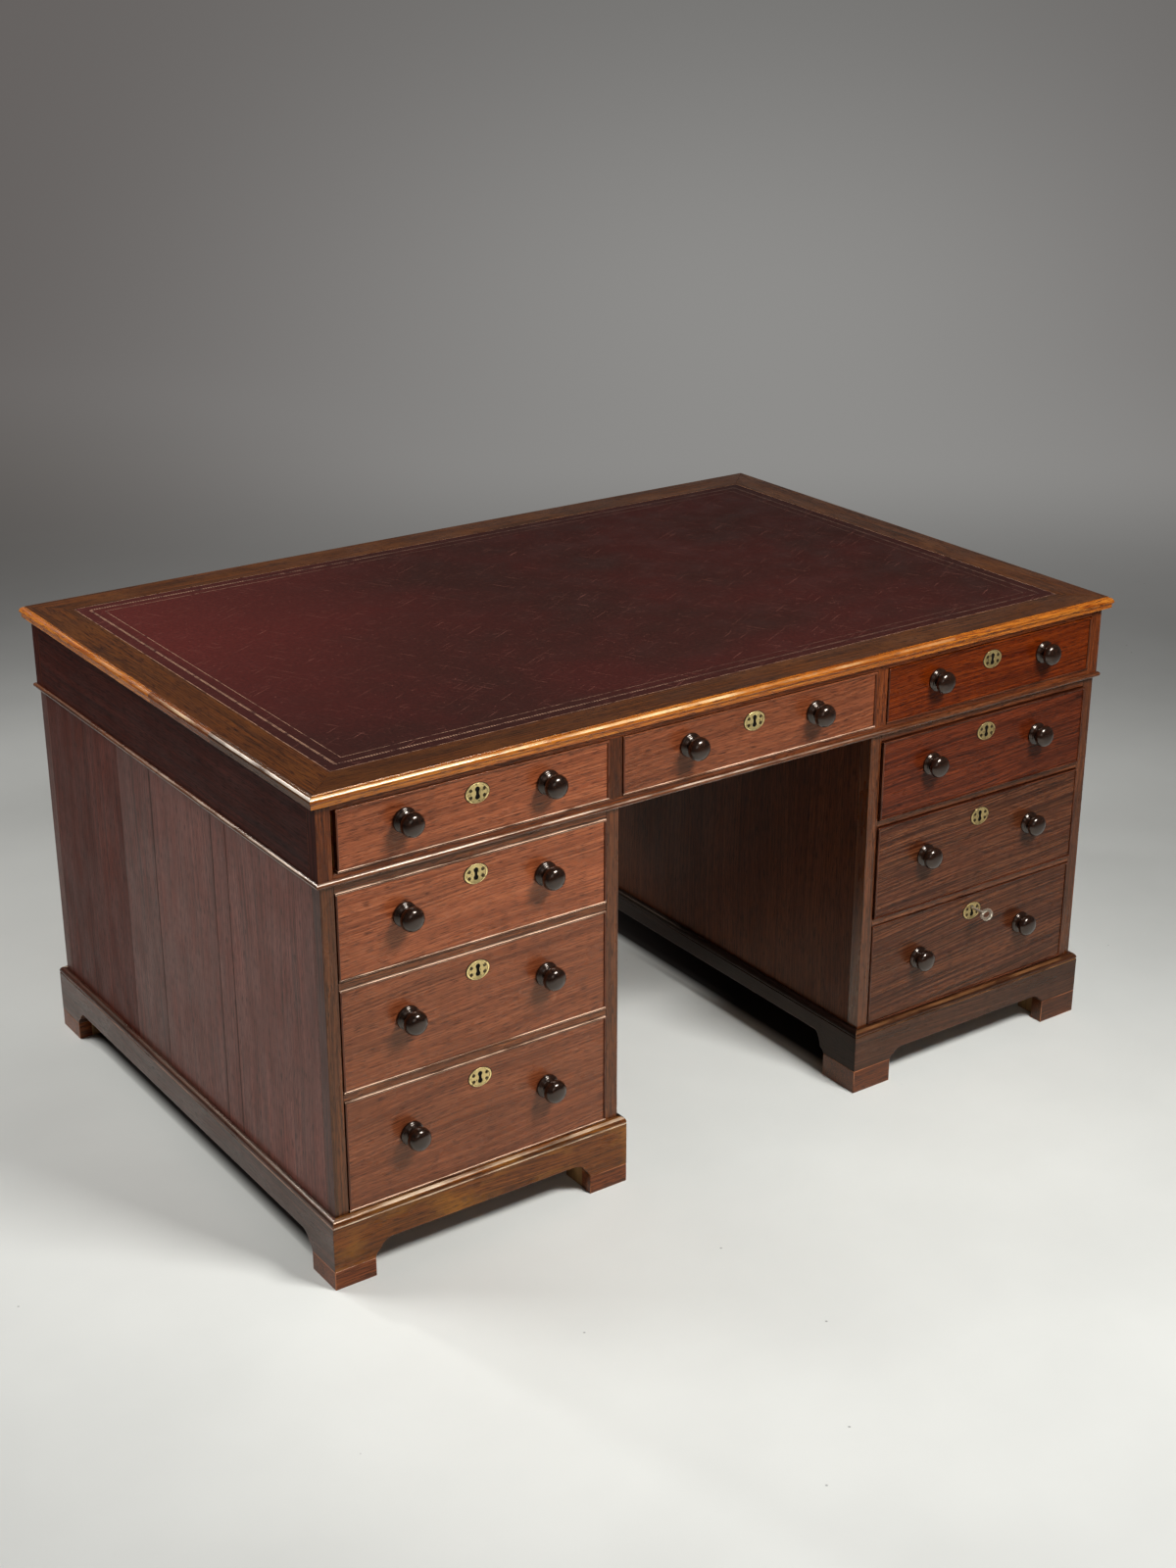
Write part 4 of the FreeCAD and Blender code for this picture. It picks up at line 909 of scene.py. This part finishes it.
def painted_floor(name):
    """Matt paint on the floor and up the wall, with specks of dirt and a faint unevenness. Painted light:
    almost white in front and grey far behind as a painted pool of light, and a nearly black painted shadow
    under the pedestals. Far from the lamps the floor and wall glow with a painted grey for the eye and for
    polished surfaces, darker higher up and to the sides, with a painted shadow towards the back-left."""
    material, tree = blank(name)
    place = add(tree, "TexCoord")["Object"]
    uphill = away + Vector((0, 0, 0.5))
    forward = add(tree, "VectorMath", {0: place, 1: uphill}, operation="DOT_PRODUCT")["Value"]
    side = add(tree, "VectorMath", {0: place, 1: beside}, operation="DOT_PRODUCT")["Value"]
    where = add(tree, "SeparateXYZ", {"Vector": place})
    # Painted pool of light: the paint greys with distance from a point by the desk.
    from_pool = add(tree, "VectorMath", {0: place, 1: (0.1, 0.0, 0)}, operation="DISTANCE")["Value"]
    painted_light_falloff = ramp(tree, from_pool, 0.4, 3.4, interpolation_type="SMOOTHSTEP")
    paint = mix(tree, painted_light_falloff, "#e9eae4", "#b2b1ae")
    uneven = add(tree, "TexNoise", {"Vector": place, "Scale": 3.0, "Detail": 4.0})["Fac"]
    uneven = ramp(tree, uneven, 0.3, 0.7, 0.96, 1.03)
    paint = add(tree, "HueSaturation", {"Color": paint, "Value": uneven})["Color"]
    speck = add(tree, "TexVoronoi", {"Vector": place, "Scale": 9.0, "Randomness": 1.0})["Distance"]
    speck = ramp(tree, speck, 0.012, 0.022, 0.55, 0.0)
    paint = mix(tree, speck, paint, "#4c4a44")
    # Painted shadow: nearly black paint under each pedestal.
    pedestal_shadow = 1.0
    from_centre = (calc(tree, "ABSOLUTE", where["X"]), where["Y"])
    for place_on_axis, centre, half in zip(from_centre, pedestal_middle, pedestal_shadow_half):
        reach = calc(tree, "ABSOLUTE", calc(tree, "SUBTRACT", place_on_axis, centre))
        inside = ramp(tree, reach, half, half - 0.02)
        pedestal_shadow = calc(tree, "MULTIPLY", pedestal_shadow, inside)
    paint = mix(tree, pedestal_shadow, paint, "#1c1512")
    shader = add(tree, "BsdfPrincipled", {"Base Color": paint, "Roughness": 0.6})
    # Painted light on the glowing backdrop: its grey darkens upwards and to the sides.
    off_middle = calc(tree, "SUBTRACT", side, 0.8)
    off_middle = calc(tree, "ABSOLUTE", off_middle)
    dim = ramp(tree, off_middle, 0.0, 3.8, interpolation_type="SMOOTHSTEP")
    lift = ramp(tree, where["Z"], 0.0, 1.6, interpolation_type="SMOOTHSTEP")
    grey = mix(tree, lift, "#8e8d8b", "#767573")
    grey = mix(tree, dim, grey, "#65615f")
    # Painted shadow of the desk on the backdrop, towards the back-left.
    corner = add(tree, "VectorMath", {0: place, 1: away * 3.0 - beside * 2.6}, operation="DISTANCE")["Value"]
    corner = ramp(tree, corner, 0.3, 2.4, 0.6, 0.0, interpolation_type="SMOOTHSTEP")
    grey = mix(tree, corner, grey, "#524e4a")
    glow = add(tree, "Emission", {"Color": grey})["Emission"]
    rays = add(tree, "LightPath")
    seen = calc(tree, "MAXIMUM", rays["Is Camera Ray"], rays["Is Glossy Ray"])
    far = ramp(tree, forward, 1.6, 4.0, interpolation_type="SMOOTHSTEP")
    share = calc(tree, "MULTIPLY", seen, far)
    surface = add(tree, "MixShader", {0: share, 1: shader["BSDF"], 2: glow})["Shader"]
    add(tree, "OutputMaterial", {"Surface": surface})
    return material


sweep = bmesh.new()
rows = [[sweep.verts.new(away * out + beside * side + Vector((0, 0, up))) for side in (-9.0, 9.0)]
        for out, up in sweep_profile]
for near, far in zip(rows, rows[1:]):
    sweep.faces.new([near[0], near[1], far[1], far[0]]).smooth = True
floor = placed("floor_sweep", sweep, [painted_floor("matt_floor_paint")])

world = bpy.data.worlds.new("studio_air")
bpy.context.scene.world = world
world.use_nodes = True
world.node_tree.nodes.clear()
air = add(world.node_tree, "Background", {"Color": "#b4b4b4", "Strength": 0.13})
add(world.node_tree, "OutputWorld", {"Surface": air["Background"]})

lamps = {"key_soft_box": ((0.45, -2.2, 2.6), 0.9, 0.6, 120, 42.0),
         "rim_soft_box": ((-1.5, 2.5, 2.9), 0.3, 0.3, 80, 6.0),
         "left_soft_box": ((-2.3, 1.6, 2.6), 1.4, 1.4, 140, 38.0),
         "front_fill": ((-1.2, -3.4, 1.8), 1.2, 1.2, 120, 2.0)}
for name, (place, width, height, spread, watts) in lamps.items():
    lamp = bpy.data.lights.new(name, "AREA")
    lamp.shape = "RECTANGLE"
    lamp.size = width
    lamp.size_y = height
    lamp.spread = math.radians(spread)
    lamp.energy = watts
    box = bpy.data.objects.new(name, lamp)
    box.location = place
    box.rotation_euler = (Vector((0.0, -0.5, 0.2)) - Vector(place)).to_track_quat("-Z", "Y").to_euler()
    bpy.context.scene.collection.objects.link(box)

# ---- Camera ---------------------------------------------------------------------------------------
# It stands before the left corner, above the height of the top.
focal_pixels, frame_height = 2327.4, 1600
look_down, roll = math.radians(22.427), math.radians(0.004)
forward = away * math.cos(look_down) - Vector((0, 0, math.sin(look_down)))
upward = beside.cross(forward)
camera = bpy.data.objects.new("camera", bpy.data.cameras.new("camera"))
camera.data.sensor_width = 36
camera.data.lens = focal_pixels * 36 / frame_height
camera.data.clip_end = 50
turned = Matrix((beside, upward, -forward)).transposed() @ Matrix.Rotation(roll, 3, "Z")
camera.matrix_world = Matrix.Translation((-2.04689, -2.98671, 1.94593)) @ turned.to_4x4()
bpy.context.scene.collection.objects.link(camera)
bpy.context.scene.camera = camera
bpy.context.scene.view_settings.view_transform = "Standard"
